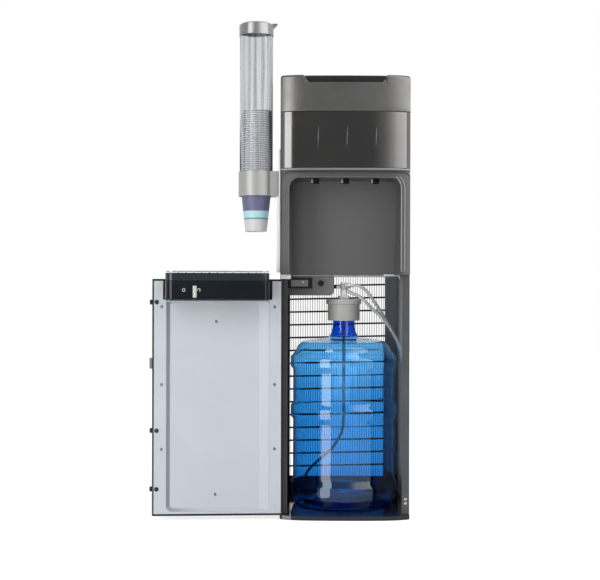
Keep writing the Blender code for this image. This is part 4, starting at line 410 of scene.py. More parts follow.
# Painted shade: a darker copy of the black sheet paint for the left side panel, whose flange lies in shade
# inside the bay.
SHEET_PAINTED_SHADE = painted("sheet_paint_painted_shade", (0.024, 0.025, 0.027), (0.034, 0.035, 0.037), 0.42, **SHEET)
INNER_SHEET_PAINTED_LIGHT = lit_inner_sheet()
DULL = {"Specular_IOR_Level": 0.22}
TOP_BLACK = painted("top_cover_moulding", (0.012, 0.012, 0.013), (0.020, 0.020, 0.021), 0.66, **DULL)
POLISH = {"grain": 300, "height": 0.000004}
GLOSS_BLACK = painted("gloss_black", (0.005, 0.006, 0.008), (0.008, 0.009, 0.011), 0.07, **POLISH)
MATT = {"Specular_IOR_Level": 0.12}
KEY_BLACK = painted("key_black", (0.004, 0.004, 0.005), (0.007, 0.007, 0.008), 0.42, **MATT)
WET = {"grain": 200, "height": 0.00001}
TUB_BLACK = painted("tub_black", (0.008, 0.014, 0.020), (0.013, 0.021, 0.028), 0.06, **WET)
TRAY_BLACK = painted(
    "tray_black", (0.003, 0.004, 0.006), (0.006, 0.008, 0.011), 0.08, Specular_IOR_Level=0.3, **WET
)
BASE_BLACK_PAINTED_LIGHT = base_black_with_painted_light()
DISPLAY_BLACK = smoked_panel()
HOUSING_GREY_PAINTED_SHADE = shaded_housing_grey()
PADDLE_GREY = painted("paddle_grey", (0.16, 0.16, 0.162), (0.21, 0.21, 0.212), 0.35)
SILVER = flaked("satin_silver_paint", (0.116, 0.115, 0.113), (0.165, 0.163, 0.160), 0.35, 0.05)
GRAPHITE = flaked("graphite_paint", 0.098, 0.135, 0.50, 0.0, 0.25)
FRAME_GRAPHITE_PAINTED_SHADE = frame_graphite_with_painted_shade()
HOLDER_SILVER = flaked("holder_silver", (0.31, 0.31, 0.302), (0.40, 0.40, 0.39), 0.46, 0.05, 0.45)
BEAD_GREY = flaked("bead_paint", 0.20, 0.28, 0.34, 0.2, 0.5)
LINE_DARK = painted("dark_line", 0.020, 0.030, 0.5)
MARK_GREY = painted("level_light", 0.10, 0.14, 0.25)
ZINC = galvanised()
HINGE_STEEL = flaked("zinc_plate", (0.55, 0.55, 0.54), (0.72, 0.72, 0.71), 0.36, 0.1, 0.3)
BRIGHT_STEEL = plated("bright_steel", (0.62, 0.62, 0.61), (0.80, 0.80, 0.79), 0.20)
WIRE_STEEL = plated("painted_wire", (0.030, 0.030, 0.032), (0.055, 0.055, 0.058), 0.35, 300)
GRILLE_STEEL = brushed("brushed_steel", (0.42, 0.42, 0.43), (0.66, 0.66, 0.67), 0.28, (0.02, 1, 1))
LID_STEEL = brushed("brushed_lid_steel", 0.22, (0.36, 0.36, 0.355), 0.36, (1, 1, 0.03))
SCREW_STEEL = brushed("screw_steel", (0.13, 0.15, 0.19), (0.26, 0.28, 0.33), 0.40, (1, 1, 1), 900)
LINER = {"grain": 300, "height": 0.00003}
LINER_WHITE = painted("liner_sheet", (0.445, 0.478, 0.520), (0.480, 0.512, 0.555), 0.42, **LINER)
RAMP_PAINTED_SHADE = shaded_ramp_sheet()
WHITE_PLASTIC = painted("white_moulding", (0.72, 0.72, 0.70), (0.80, 0.80, 0.78), 0.4)
PALE_PLASTIC = painted("pale_moulding", (0.42, 0.42, 0.39), (0.48, 0.48, 0.45), 0.42)
RAIL_PLASTIC = painted("rail_moulding", (0.80, 0.81, 0.82), (0.88, 0.89, 0.90), 0.42)
RUBBER = painted("black_rubber", 0.010, 0.018, 0.7, grain=900, height=0.00003)
BOARD = painted("board_lacquer", (0.02, 0.14, 0.06), (0.04, 0.22, 0.10), 0.3)
RED = painted("switch_red", (0.45, 0.02, 0.02), (0.55, 0.03, 0.025), 0.22)
BOTTLE_BLUE = bottle_blue()
TUBE_CLEAR = fluted_tube()
PROBE_CLEAR = clear_plastic("clear_probe", (0.78, 0.80, 0.82), 0.12)
DIP_CLEAR = clear_plastic("clear_dip_tube", (0.30, 0.36, 0.42), 0.10)
SILICONE = clear_plastic("clear_silicone", (0.93, 0.94, 0.94), 0.28, 0.0002)
CARD = cup_card()
STACK_CARD_PAINTED_SHADE = shaded_cup_stack_card()
FLOOR_WHITE = floor_white()


# Making pieces
def mesh_of(name, form):
    mesh = bpy.data.meshes.new(name)
    form.to_mesh(mesh)
    form.free()
    return mesh


def piece(name, form, finish, body, stands_for=(), smooth=35):
    """Makes a finished object of a bmesh, gives it to a body and hides the nodes it stands for."""
    return dress(name, mesh_of(name, form), finish, body, stands_for, smooth)


def dress(name, mesh, finish, body, stands_for, smooth):
    """The same for a mesh. Edges with a sharper fold than the smooth angle stay crisp."""
    mesh.materials.clear()
    mesh.materials.append(finish)
    mesh.polygons.foreach_set("use_smooth", [True] * len(mesh.polygons))
    mesh.set_sharp_from_angle(angle=math.radians(smooth))
    item = added(name, mesh)
    if body:
        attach(item, body)
    if stands_for:
        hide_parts(*stands_for)
    return item


def body_of(node):
    return frame["nodes"][node]["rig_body"]


def moved(form, place):
    bmesh.ops.translate(form, vec=place, verts=form.verts)


def turned(form, axis, angle):
    bmesh.ops.rotate(form, cent=(0, 0, 0), matrix=Matrix.Rotation(angle, 3, axis), verts=form.verts)


def eased_line(points, radius, steps=4):
    """A line of points with every corner rounded, as far as its neighbours leave room."""
    straight = math.radians(176)
    room_share = 0.48
    rounded = [Vector(points[0])]
    for before, corner, after in zip(points, points[1:], points[2:]):
        before, corner, after = Vector(before), Vector(corner), Vector(after)
        one, two = before - corner, after - corner
        angle = one.angle(two)
        if angle > straight:
            rounded.append(corner)
            continue
        room = min(one.length, two.length) * room_share
        reach = min(radius / math.tan(angle / 2), room)
        start, end = corner + one.normalized() * reach, corner + two.normalized() * reach
        for step in range(steps + 1):
            t = step / steps
            rounded.append(start.lerp(corner, t).lerp(corner.lerp(end, t), t))
    rounded.append(Vector(points[-1]))
    return rounded


def arc(centre, wide, high, start, end, steps):
    """Points round an arc between two angles in degrees. Half its width and half its height can differ."""
    turns = [math.radians(start + (end - start) * step / steps) for step in range(steps + 1)]
    return [(centre[0] + wide * math.cos(turn), centre[1] + high * math.sin(turn)) for turn in turns]


def skin(form, first, second, ring=True):
    """Faces between two rings of points, or two open rows. A ring can be a single point."""
    size = max(len(first), len(second))
    for step in range(size if ring else size - 1):
        after = (step + 1) % size
        corners = [first[step % len(first)], first[after % len(first)]]
        corners += [second[after % len(second)], second[step % len(second)]]
        corners = list(dict.fromkeys(corners))
        if len(corners) > 2:
            form.faces.new(corners)


def sheet(lines, ring=False):
    """A form with faces between lines of points, and its vertices line by line."""
    form = bmesh.new()
    rows = [[form.verts.new(place) for place in line] for line in lines]
    for first, second in zip(rows, rows[1:]):
        skin(form, first, second, ring)
    return form, rows


def spun(profile, centre, steps, wave=None):
    """A form turned round an upright axis from (radius, height) points. A closed one repeats its start."""
    same = 1e-6
    rings = []
    closed = (Vector(profile[0]) - Vector(profile[-1])).length < same
    for radius, height in profile[: -1 if closed else None]:
        if radius < same:
            rings.append([(centre[0], centre[1], height)])
            continue
        ring = []
        for step in range(steps):
            angle = 2 * math.pi * step / steps
            lift = wave(radius, height, angle) if wave else 0
            x, y = centre[0] + radius * math.cos(angle), centre[1] + radius * math.sin(angle)
            ring.append((x, y, height + lift))
        rings.append(ring)
    form, rows = sheet(rings, True)
    if closed:
        skin(form, rows[-1], rows[0])
    bmesh.ops.recalc_face_normals(form, faces=form.faces)
    return form


def swept(path, radius, sides=12, bore=0.0):
    """A round tube along a path, with closed ends, or with a bore through it."""
    form = bmesh.new()
    path = [Vector(place) for place in path]
    rings = []
    for order, place in enumerate(path):
        ahead = path[min(order + 1, len(path) - 1)] - path[max(order - 1, 0)]
        ahead.normalize()
        if order == 0:
            up = ahead.orthogonal().normalized()
        up = (up - ahead * up.dot(ahead)).normalized()
        side = ahead.cross(up)
        size = radius(order / (len(path) - 1)) if callable(radius) else radius
        row = []
        for reach in (size, bore) if bore else (size,):
            ring = []
            for step in range(sides):
                angle = 2 * math.pi * step / sides
                ring.append(form.verts.new(place + (up * math.cos(angle) + side * math.sin(angle)) * reach))
            row.append(ring)
        rings.append(row)
    for wall in zip(*rings):
        for first, second in zip(wall, wall[1:]):
            skin(form, first, second)
    for row in (rings[0], rings[-1]):
        if bore:
            skin(form, *row)
        else:
            form.faces.new(row[0])
    bmesh.ops.recalc_face_normals(form, faces=form.faces)
    return form


def even_route(route, spacing):
    """Points at an even spacing along a smooth curve through the route's points, and its length."""
    parts = 24
    knots = [Vector(place) for place in route]
    knots = [2 * knots[0] - knots[1]] + knots + [2 * knots[-1] - knots[-2]]
    fine = []
    for before, first, second, after in zip(knots, knots[1:], knots[2:], knots[3:]):
        for step in range(parts):
            t = step / parts
            place = 2 * first + (second - before) * t
            place += (2 * before - 5 * first + 4 * second - after) * t**2
            place += (3 * first - before - 3 * second + after) * t**3
            fine.append(place / 2)
    fine.append(knots[-2])
    length = sum((b - a).length for a, b in zip(fine, fine[1:]))
    count = max(2, round(length / spacing))
    points, travelled, wanted = [fine[0]], 0.0, length / count
    for a, b in zip(fine, fine[1:]):
        run = (b - a).length
        while run > 0 and travelled + run >= wanted and len(points) < count:
            points.append(a.lerp(b, (wanted - travelled) / run))
            wanted += length / count
        travelled += run
    points.append(fine[-1])
    return points, length


def smooth_tube(route, spacing, *tube):
    """A tube along a smooth curve. The rest is as in swept."""
    return swept(even_route(route, spacing)[0], *tube)


ROUND = {"offset_type": "OFFSET", "profile": 0.5, "affect": "EDGES"}


def eased(node, finish, radius, steps=2, shape=None):
    """A copy of a CAD node with its hard edges eased, which then stands for it."""
    weld, flat = 0.00002, math.radians(0.5)
    hard, smooth = math.radians(40), 50
    form = bmesh.new()
    form.from_mesh(frame["nodes"][node].data)
    for vertex in form.verts if shape else ():
        vertex.co = shape(vertex.co)
    bmesh.ops.remove_doubles(form, verts=form.verts, dist=weld)
    bmesh.ops.dissolve_limit(form, angle_limit=flat, verts=form.verts, edges=form.edges)
    sharp = [edge for edge in form.edges if edge.is_manifold and edge.calc_face_angle(0) > hard]
    bmesh.ops.bevel(form, geom=sharp, offset=radius, segments=steps, clamp_overlap=True, **ROUND)
    item = dress(f"{node}_form", mesh_of(node, form), finish, body_of(node), (node,), smooth)
    item.modifiers.new("even_shading", "WEIGHTED_NORMAL").keep_sharp = True


def coat(finish, *nodes):
    """Gives CAD nodes a finish."""
    for node in nodes:
        mesh = frame["nodes"][node].data
        mesh.materials.clear()
        mesh.materials.append(finish)


def scatter_group():
    """Geometry Nodes that set a small form on every point, each copy turned a little by a fixed seed."""
    group = bpy.data.node_groups.new("set_on_points", "GeometryNodeTree")
    kinds = {"Points": "Geometry", "Unit": "Object", "Turn": "Vector", "Seed": "Int", "Finish": "Material"}
    for label, kind in kinds.items():
        group.interface.new_socket(label, in_out="INPUT", socket_type=f"NodeSocket{kind}")
    group.interface.new_socket("Geometry", in_out="OUTPUT", socket_type="NodeSocketGeometry")
    nodes = Nodes(group)
    given = nodes.node("NodeGroupInput").outputs
    unit = nodes.node("GeometryNodeObjectInfo", Object=given["Unit"])
    least = nodes.node("ShaderNodeVectorMath", Vector=given["Turn"])
    least.operation = "SCALE"
    nodes.feed(least.inputs["Scale"], -1)
    turn = nodes.node("FunctionNodeRandomValue", Seed=given["Seed"])
    turn.data_type = "FLOAT_VECTOR"
    nodes.feed(turn.inputs[0], least.outputs["Vector"])
    nodes.feed(turn.inputs[1], given["Turn"])
    copies = nodes.node("GeometryNodeInstanceOnPoints", Points=given["Points"])
    nodes.feed(copies.inputs["Instance"], unit.outputs["Geometry"])
    nodes.feed(copies.inputs["Rotation"], turn.outputs[0])
    real = nodes.node("GeometryNodeRealizeInstances", Geometry=copies.outputs["Instances"])
    finish = nodes.node("GeometryNodeSetMaterial", Geometry=real.outputs[0], Material=given["Finish"])
    nodes.feed(nodes.node("NodeGroupOutput").inputs[0], finish.outputs[0])
    return group


SCATTER = scatter_group()


def scattered(name, unit, places, finish, body, stands_for, turn, seed, smooth=35):
    """One mesh with a copy of the unit form at each place."""
    points = bpy.data.meshes.new(f"{name}_points")
    points.from_pydata([tuple(place) for place in places], [], [])
    carrier = added(f"{name}_points", points)
    single = added(f"{name}_unit", mesh_of(f"{name}_unit", unit))
    spread = carrier.modifiers.new("spread", "NODES")
    spread.node_group = SCATTER
    given = {item.name: item.identifier for item in SCATTER.interface.items_tree if item.in_out == "INPUT"}
    for label, value in {"Unit": single, "Turn": turn, "Seed": seed, "Finish": finish}.items():
        spread[given[label]] = value
    whole = bpy.data.meshes.new_from_object(carrier.evaluated_get(bpy.context.evaluated_depsgraph_get()))
    carrier.modifiers.remove(spread)
    for item in (carrier, single):
        bpy.data.objects.remove(item)
    return dress(name, whole, finish, body, stands_for, smooth)


def onto(node, x, z):
    """The place where a line from the front meets a CAD node."""
    item = frame["nodes"][node]
    places = [item.matrix_world @ vertex.co for vertex in item.data.vertices]
    tree = BVHTree.FromPolygons(places, [face.vertices[:] for face in item.data.polygons])
    return tree.ray_cast(Vector((x, CAMERA_PLACE[1], z)), Vector((0, 1, 0)))[0]


def rounded_box(low, high, radius, steps=2):
    """A block between two corners with eased edges."""
    form = bmesh.new()
    bmesh.ops.create_cube(form, size=1)
    low, high = Vector(low), Vector(high)
    bmesh.ops.scale(form, vec=high - low, verts=form.verts)
    moved(form, (low + high) / 2)
    bmesh.ops.bevel(form, geom=form.edges[:], offset=radius, segments=steps, **ROUND)
    return form


def joined(*forms):
    """Several forms in one."""
    whole = bmesh.new()
    for form in forms:
        mesh = mesh_of("part", form)
        whole.from_mesh(mesh)
        bpy.data.meshes.remove(mesh)
    return whole


def on_door(x, y, z):
    """A place on the closed door, carried to where the open door holds it."""
    hinge = Vector((HINGE_X, HINGE_Y, 0))
    return hinge + Matrix.Rotation(DOOR_TURN, 3, "Z") @ (Vector((x, y, z)) - hinge)


def bowed(x):
    """The y of the cabinet's bowed front."""
    share = abs(x) / HALF_WIDTH
    return FRONT_Y + FRONT_BOW * share**2 + EDGE_BOW * share**EDGE_BOW_POWER


def screw_head(radius, rise):
    """A low domed head with a rim under it and a raised cross on it, turned towards the front."""
    dome = [(radius * 1.35, 0), (radius * 1.35, rise * 0.25), (radius, rise * 0.3)]
    dome += [(radius * 0.92, rise * 0.7), (radius * 0.6, rise), (0, rise * 1.08)]
    form = spun([(0, 0), *dome], (0, 0), 28)
    for turn in (0, UPRIGHT):
        arm = bmesh.ops.create_cube(form, size=1)["verts"]
        bmesh.ops.scale(form, vec=(radius * 1.1, radius * 0.24, rise * 0.16), verts=arm)
        bmesh.ops.rotate(form, cent=(0, 0, 0), matrix=Matrix.Rotation(turn, 3, "Z"), verts=arm)
        bmesh.ops.translate(form, vec=(0, 0, rise * 1.02), verts=arm)
    turned(form, "X", UPRIGHT)
    return form


# The hose
HOSE_RADIUS = 0.004
HOSE_BORE = 0.0024
HOSE_LEAD = 0.012
HOSE_SPACING = 0.0045
HOSE_START = (0.0293, -0.002, 0.5575)
HOSE_END = (-0.0147, 0.012, 0.5538)
HOSE_ROUTE = (
    (0.062, -0.016, 0.541),
    (0.078, -0.040, 0.517),
    (0.095, -0.072, 0.487),
    (0.112, -0.104, 0.455),
    (0.128, -0.128, 0.422),
    (0.138, -0.1405, 0.396),
    (0.143, -0.136, 0.377),
    (0.145, -0.117, 0.367),
    (0.143, -0.097, 0.377),
    (0.136, -0.086, 0.406),
    (0.125, -0.078, 0.435),
    (0.108, -0.066, 0.462),
    (0.090, -0.050, 0.484),
    (0.074, -0.028, 0.499),
    (0.063, -0.008, 0.511),
    (0.054, 0.008, 0.522),
    (0.042, 0.016, 0.531),
    (0.026, 0.018, 0.538),
    (0.010, 0.0165, 0.5465),
)


def make_hose():
    """The clear suction hose, which follows the probe at one end and the pump at the other."""
    route = [HOSE_START, (HOSE_START[0] + HOSE_LEAD, *HOSE_START[1:]), *HOSE_ROUTE]
    route += [(HOSE_END[0] + HOSE_LEAD, *HOSE_END[1:]), HOSE_END]
    path, length = even_route(route, HOSE_SPACING)
    hose = piece("suction_hose_tube", swept(path, HOSE_RADIUS, 14, HOSE_BORE), SILICONE, None)
    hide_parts("suction_hose")
    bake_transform(hose)


make_hose()


# Stage and light
FLOOR_RADIUS = 7
FRONT_GLOW = 0.30
FLOOR_GLOW = 0.75
SEEN_GLOW = 1.0
SOFT_GLOW = 0.42
RIGHT_WALL_GLOW = 3.4
RIGHT_WALL = (
    *((0.0, 0.0), (0.045, 0.0), (0.10, 0.22), (0.16, 0.66)),
    *((0.24, 0.90), (0.34, 1.0), (0.45, 0.5), (0.52, 0.0)),
)


def make_floor():
    """A wide white floor, which keeps the cooler's shadow close to its foot."""
    form = bmesh.new()
    bmesh.ops.create_circle(form, cap_ends=True, segments=96, radius=FLOOR_RADIUS)
    floor = piece("studio_floor", form, FLOOR_WHITE, None)
    floor.visible_glossy = False


def make_world():
    """A white studio behind and below the cooler, dim in front of it, with a glowing wall at its right."""
    world = bpy.data.worlds.new("studio")
    bpy.context.scene.world = world
    world.use_nodes = True
    nodes = Nodes(world.node_tree)
    place = nodes.node("ShaderNodeTexCoord").outputs["Generated"]
    x, y, z = nodes.node("ShaderNodeSeparateXYZ", Vector=place).outputs
    behind = nodes.spread(y, FRONT_GLOW, 1.0, -0.25, 0.25)
    below = nodes.spread(z, FLOOR_GLOW, 0.0, -0.12, -0.02)
    azimuth = nodes.calc(x, nodes.calc(y, -1, "MULTIPLY"), "ARCTAN2")
    wall = nodes.tones(nodes.calc(azimuth, math.pi, "DIVIDE"), *RIGHT_WALL)
    glow = nodes.calc(wall, nodes.spread(z, 0, RIGHT_WALL_GLOW, 0.02, 0.07), "MULTIPLY")
    lit = nodes.calc(nodes.calc(behind, below, "MAXIMUM"), glow)
    rays = nodes.node("ShaderNodeLightPath").outputs
    seen = nodes.calc(rays["Is Camera Ray"], rays["Is Transmission Ray"], "MAXIMUM")
    strength = nodes.mix(rays["Is Diffuse Ray"], nodes.mix(seen, lit, SEEN_GLOW), SOFT_GLOW)
    backdrop = nodes.tree.nodes["Background"]
    nodes.feed(backdrop.inputs["Strength"], strength)
    nodes.feed(backdrop.inputs["Color"], (1, 1, 1, 1))


def softbox(name, azimuth, distance, low, high, width, power):
    """An upright softbox at an azimuth in degrees, from the front towards the left."""
    data = bpy.data.lights.new(name, "AREA")
    data.shape = "RECTANGLE"
    data.size = width
    data.size_y = high - low
    data.energy = power
    lamp = added(name, data)
    angle = math.radians(azimuth)
    lamp.location = (-distance * math.sin(angle), FRONT_Y - distance * math.cos(angle), (low + high) / 2)
    lamp.rotation_euler = (UPRIGHT, 0, -angle)
    lamp.visible_camera = False
    return lamp


make_floor()
make_world()
softbox("left_softbox", azimuth=44, distance=2.1, low=-0.7, high=2.1, width=0.85, power=36)
softbox("right_softbox", azimuth=-72, distance=2.2, low=0.0, high=2.0, width=0.5, power=6)
low_fill = softbox("low_fill", azimuth=8, distance=2.5, low=0.02, high=0.5, width=1.8, power=9)
low_fill.visible_glossy = False


# Bottle and dip tube
BOTTLE_WALL = 0.0017
NECK_WALL = 0.0026
FOOT_RIBS = 14
RIB_HEIGHT = 0.0030
RIB_RADIUS = 0.046
RIB_REACH = 0.040
RIB_TOP = 0.032
BOTTLE_LINE = (
    *((0, 0.0290), (0.028, 0.0275), (0.060, 0.0215), (0.086, 0.0110), (0.101, 0.0030), (0.110, 0.0006)),
    *((0.1165, 0.0002), (0.1225, 0.0022), (0.1285, 0.0105), (0.1325, 0.024), (0.1335, 0.036)),
    *((0.1335, 0.056), (0.1262, 0.071), (0.1262, 0.209), (0.1335, 0.222), (0.1335, 0.244)),
    *((0.1262, 0.257), (0.1262, 0.334), (0.1335, 0.347), (0.1335, 0.368), (0.1200, 0.384)),
    *((0.1170, 0.394), (0.1050, 0.4065), (0.0800, 0.4125), (0.0400, 0.4155), (0.0362, 0.4205)),
    *((0.0312, 0.4300), (0.0282, 0.4430), (0.0277, 0.4560), (0.0273, 0.4600), (0.0273, 0.4885)),
)


def bottle_form():
    """The outer and inner wall of the bottle, with its hoops, its flat shoulder and its pushed-up foot."""
    outer = eased_line(BOTTLE_LINE, 0.012, 5)
    inner = []
    for order, place in enumerate(outer):
        ahead = outer[min(order + 1, len(outer) - 1)] - outer[max(order - 1, 0)]
        out = Vector((ahead.y, -ahead.x)).normalized()
        in_neck = place.x <= 0.045 and place.y >= 0.1
        inner.append(place - out * (NECK_WALL if in_neck else BOTTLE_WALL))
    inner[0].x = 0
    inner[-1].y = outer[-1].y
    profile = [(place.x, BOTTLE_FOOT + place.y) for place in outer + inner[::-1]]

    def ribbed(radius, height, angle):
        """The ribs of the foot, which fade towards its middle and its rim."""
        share = max(0.0, 1 - abs(radius - RIB_RADIUS) / RIB_REACH)
        return RIB_HEIGHT * share * math.cos(FOOT_RIBS * angle) if height < BOTTLE_FOOT + RIB_TOP else 0.0

    return spun(profile, BOTTLE_AXIS, 112, ribbed)


def make_dip_tube():
    """The clear tube from the bottle's neck, which curves to the foot's edge."""
    x, y = BOTTLE_AXIS
    route = [(x, y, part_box("dip_tube")[1].z), (x, y, 0.42), (x, y, 0.3)]
    bend = ((0.001, 0.205), (0.012, 0.172), (0.031, 0.144), (0.059, 0.120), (0.087, 0.093), (0.100, 0.067))
    route += [(x - aside, y, z) for aside, z in bend]
    pipe = smooth_tube(route, 0.008, 0.0035, 14, 0.0022)
    piece("dip_tube_pipe", pipe, DIP_CLEAR, "bottle", ("dip_tube",))


piece("bottle_wall", bottle_form(), BOTTLE_BLUE, "bottle", ("bottle",), 60)
make_dip_tube()


# Condenser
def make_condenser():
    """A smooth serpentine tube behind a comb of round wires."""
    low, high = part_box("condenser_coil")
    middle_y = (low.y + high.y) / 2
    radius, passes, pitch, half, fall = 0.0024, 17, 0.0346, 0.134, 0.003
    top = high.z - radius - fall
    route = []
    for order in range(passes):
        z = top - order * pitch
        side = 1 if order % 2 else -1
        route += [(side * half, middle_y, z + side * fall), (-side * half, middle_y, z - side * fall)]
        if order < passes - 1:
            bend = arc((half, z - side * fall - pitch / 2), pitch / 2, pitch / 2, 90, -90, 12)
            route += [(-side * x, middle_y, z) for x, z in bend[1:-1]]
    pipe = swept(route, radius, 12)
    piece("condenser_pipe", pipe, WIRE_STEEL, "cabinet", ("condenser_coil",), 60)
    low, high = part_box("condenser_wires")
    radius, pitch, wires = (high.y - low.y) / 2, 0.0064, 46
    wire = swept([(0, 0, low.z), (0, 0, high.z)], radius, 10)
    places = [(low.x + radius + step * pitch, low.y + radius, 0) for step in range(wires)]
    replaced, turn = ("condenser_wires",), (0.0004, 0, 0)
    scattered("condenser_comb", wire, places, WIRE_STEEL, "cabinet", replaced, turn, 3, 60)


make_condenser()


# Cups and their tube
def cup_line(rim):
    """The profile of a thin conical card cup with a rolled rim and a recessed bottom."""
    top, bottom, card, recess = 0.036, 0.026, 0.0004, 0.004
    foot = rim - CUP_HEIGHT
    line = [(0, foot + recess), (bottom - 0.002, foot + recess), (bottom - 0.001, foot), (bottom, foot)]
    line += [(top, rim - 0.0030), (top + 0.0010, rim - 0.0030)]
    line += arc((top + 0.0006, rim - 0.0016), 0.0014, 0.0016, -80, 180, 8)
    inside = foot + recess + 0.0005
    return [*line, (top - card, rim - 0.0032), (bottom - card, inside), (0, inside)]


def make_cups():
    """The lowest cup, the stack of cups above it and the clear tube round them."""
    lowest = spun(cup_line(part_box("bottom_cup")[1].z), CUP_AXIS, 72)
    piece("lowest_cup", lowest, CARD, "bottom_cup", ("bottom_cup",), 50)
    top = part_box("cup_stack")[1].z
    unit = spun(cup_line(0), (0, 0), 48)
    places = [(*CUP_AXIS, top - order * CUP_PITCH) for order in range(CUP_COUNT)]
    body, replaced, turn = body_of("cup_stack"), ("cup_stack",), (0.002, 0.002, 3)
    scattered("stacked_cups", unit, places, STACK_CARD_PAINTED_SHADE, body, replaced, turn, 11, 50)
    low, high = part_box("cup_tube")
    wall = [(0.0386, low.z + 0.001), (0.0386, high.z - 0.0006), (0.0390, high.z), (0.0396, high.z)]
    wall += [(0.0400, high.z - 0.0006), (0.0400, low.z + 0.0006), (0.0396, low.z), (0.0390, low.z), wall[0]]
    tube, body = spun(wall, CUP_AXIS, 96), body_of("cup_tube")
    piece("clear_cup_tube", tube, TUBE_CLEAR, body, ("cup_tube",), 40)


make_cups()


# Screws
SCREW_RISE = 0.0002


def make_liner_screws():
    """Low cross-head screws that hold the liner to the door."""
    spots = [(x, z) for z in (0.506, 0.3215, 0.1685) for x in (-0.4354, -0.1683)]
    spots += [(-0.307, 0.4706), (-0.309, 0.060)]
    head = screw_head(0.0032, SCREW_RISE)
    places = [onto("door_liner", x, z) for x, z in spots]
    scattered("liner_screws", head, places, SCREW_STEEL, "door", (), (0, 1, 0), 4)


def make_flange_screws():
    """Two bright screws low on the right side panel."""
    head = screw_head(0.0026, SCREW_RISE)
    places = [onto("right_side_panel", 0.146, z) for z in (0.0465, 0.0365)]
    scattered("flange_screws", head, places, BRIGHT_STEEL, "cabinet", (), (0, 1, 0), 6)


make_liner_screws()
make_flange_screws()


# Front of the cabinet
SIDES = ("left", "centre", "right")
KEY_TOP = 1.0572
KEY_FALL = 0.0166
KEY_SETBACK = 0.0158
KEY_COLUMNS = 14
KEY_ROWS = 6


def make_fascia():
    """The silver top moulding: its sloped edge follows the bow, and its upper corners are round."""
    low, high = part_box("front_fascia")
    panel_front, panel_top = -0.1500, 1.0460
    corner, slope_edge, slope_more, slope_end, slope_run = 0.0062, 0.0042, 0.0133, 0.1010, 0.0055
    places = [HALF_WIDTH * math.sin(step / 48 * math.pi / 2) for step in range(-48, 49)]
    places += [side * (0.0940 + step * 0.0008) for side in (-1, 1) for step in range(11)]
    columns = []
    for x in sorted(places):
        slope = slope_edge + slope_more * min(1.0, max(0.0, (slope_end - abs(x)) / slope_run))
        inset = max(0.0, corner - (HALF_WIDTH - abs(x)))
        top = high.z - corner + math.sqrt(max(0.0, corner**2 - inset**2))
        front, rise = bowed(x), top - 0.0235 - low.z
        line = [(front + 0.0030, low.z), (front, low.z + 0.0005)]
        line += [(front, low.z + share * rise) for share in (0.25, 0.5, 0.75, 1.0)]
        line += [(front, top - slope), (front + slope, top), (high.y, top)]
        columns.append([Vector((x, y, z)) for y, z in eased_line([Vector(spot) for spot in line], 0.0035)])
    form, rows = sheet(columns)
    rim = [form.verts.new((column[0].x, bowed(column[0].x) + 0.006, low.z)) for column in columns]
    skin(form, [row[0] for row in rows], rim, ring=False)
    for row, x in ((rows[0], columns[0][0].x), (rows[-1], columns[-1][0].x)):
        notch = ((high.y, panel_top), (panel_front, panel_top), (panel_front, low.z))
        form.faces.new([*row, *(form.verts.new((x, y, z)) for y, z in notch)])
    bmesh.ops.recalc_face_normals(form, faces=form.faces)
    piece("silver_fascia", form, SILVER, "cabinet", ("front_fascia",), 40)


def key_form(left, right, slant_left, slant_right, lift):
    """A key on the sloped edge, bowed like the front, whose lower edge can be the shorter one."""
    columns = []
    for column in range(KEY_COLUMNS + 1):
        share = column / KEY_COLUMNS
        line = []
        for step in range(KEY_ROWS + 1):
            fall = step / KEY_ROWS
            x = left + (right - left) * share
            x += fall**2 * (slant_left * (1 - share) - slant_right * share)
            y = bowed(x) + KEY_SETBACK * (1 - fall) - lift
            z = KEY_TOP - KEY_FALL * fall + lift * math.sin(math.pi * min(1, fall * 1.02)) ** 0.5
            line.append((x, y, z))
        columns.append(line)
    form, _ = sheet(columns)
    outer = bmesh.ops.extrude_face_region(form, geom=form.faces[:])["geom"]
    pushed = [item for item in outer if isinstance(item, bmesh.types.BMVert)]
    bmesh.ops.translate(form, vec=(0, 0.003, -0.003), verts=pushed)
    bmesh.ops.recalc_face_normals(form, faces=form.faces)
    return form


def make_keys():
    """Three black keys in one bar along the sloped edge, with slanted ends and fine gaps."""
    keys = ((-0.0937, -0.0290, 0.0066, 0.0), (-0.0282, 0.0332, 0.0, 0.0), (0.0340, 0.0947, 0.0, 0.0066))
    for name, key in zip(SIDES, keys):
        node = f"button_{name}"
        piece(f"{name}_key", key_form(*key, 0.0012), KEY_BLACK, node, (node,), 40)
    bar = key_form(-0.0947, 0.0957, 0.0070, 0.0070, 0.0004)
    piece("key_bar", bar, KEY_BLACK, "cabinet", ("button_bezel",), 40)


def bead(name, form, finish):
    """A round line of moulding on the cabinet."""
    piece(name, form, finish, "cabinet", (), 60)


def on_front(line, depth):
    """The points of an outline, laid on the bowed front at a depth behind it."""
    return [(x, bowed(x) + depth, z) for x, z in line]


def make_lip():
    """The rounded bead under the display and the dark line that arches round the niche's border."""
    reach = HALF_WIDTH * 0.985
    line = [(reach * math.sin(step / 40 * math.pi / 2), 0.8330) for step in range(-40, 41)]
    bead("lip_bead", swept(on_front(line, -0.0004), 0.0026), BEAD_GREY)
    line = [(-0.1535, 0.700), (-0.1533, 0.790), (-0.1515, 0.812), (-0.1460, 0.822), (-0.1360, 0.8262)]
    line += [(x / 100, 0.8268) for x in range(-12, 14, 2)]
    line += [(0.1380, 0.8262), (0.1470, 0.8235), (0.1520, 0.8170)]
    bead("border_line", smooth_tube(on_front(line, -0.0001), 0.003, 0.0009, 8), LINE_DARK)


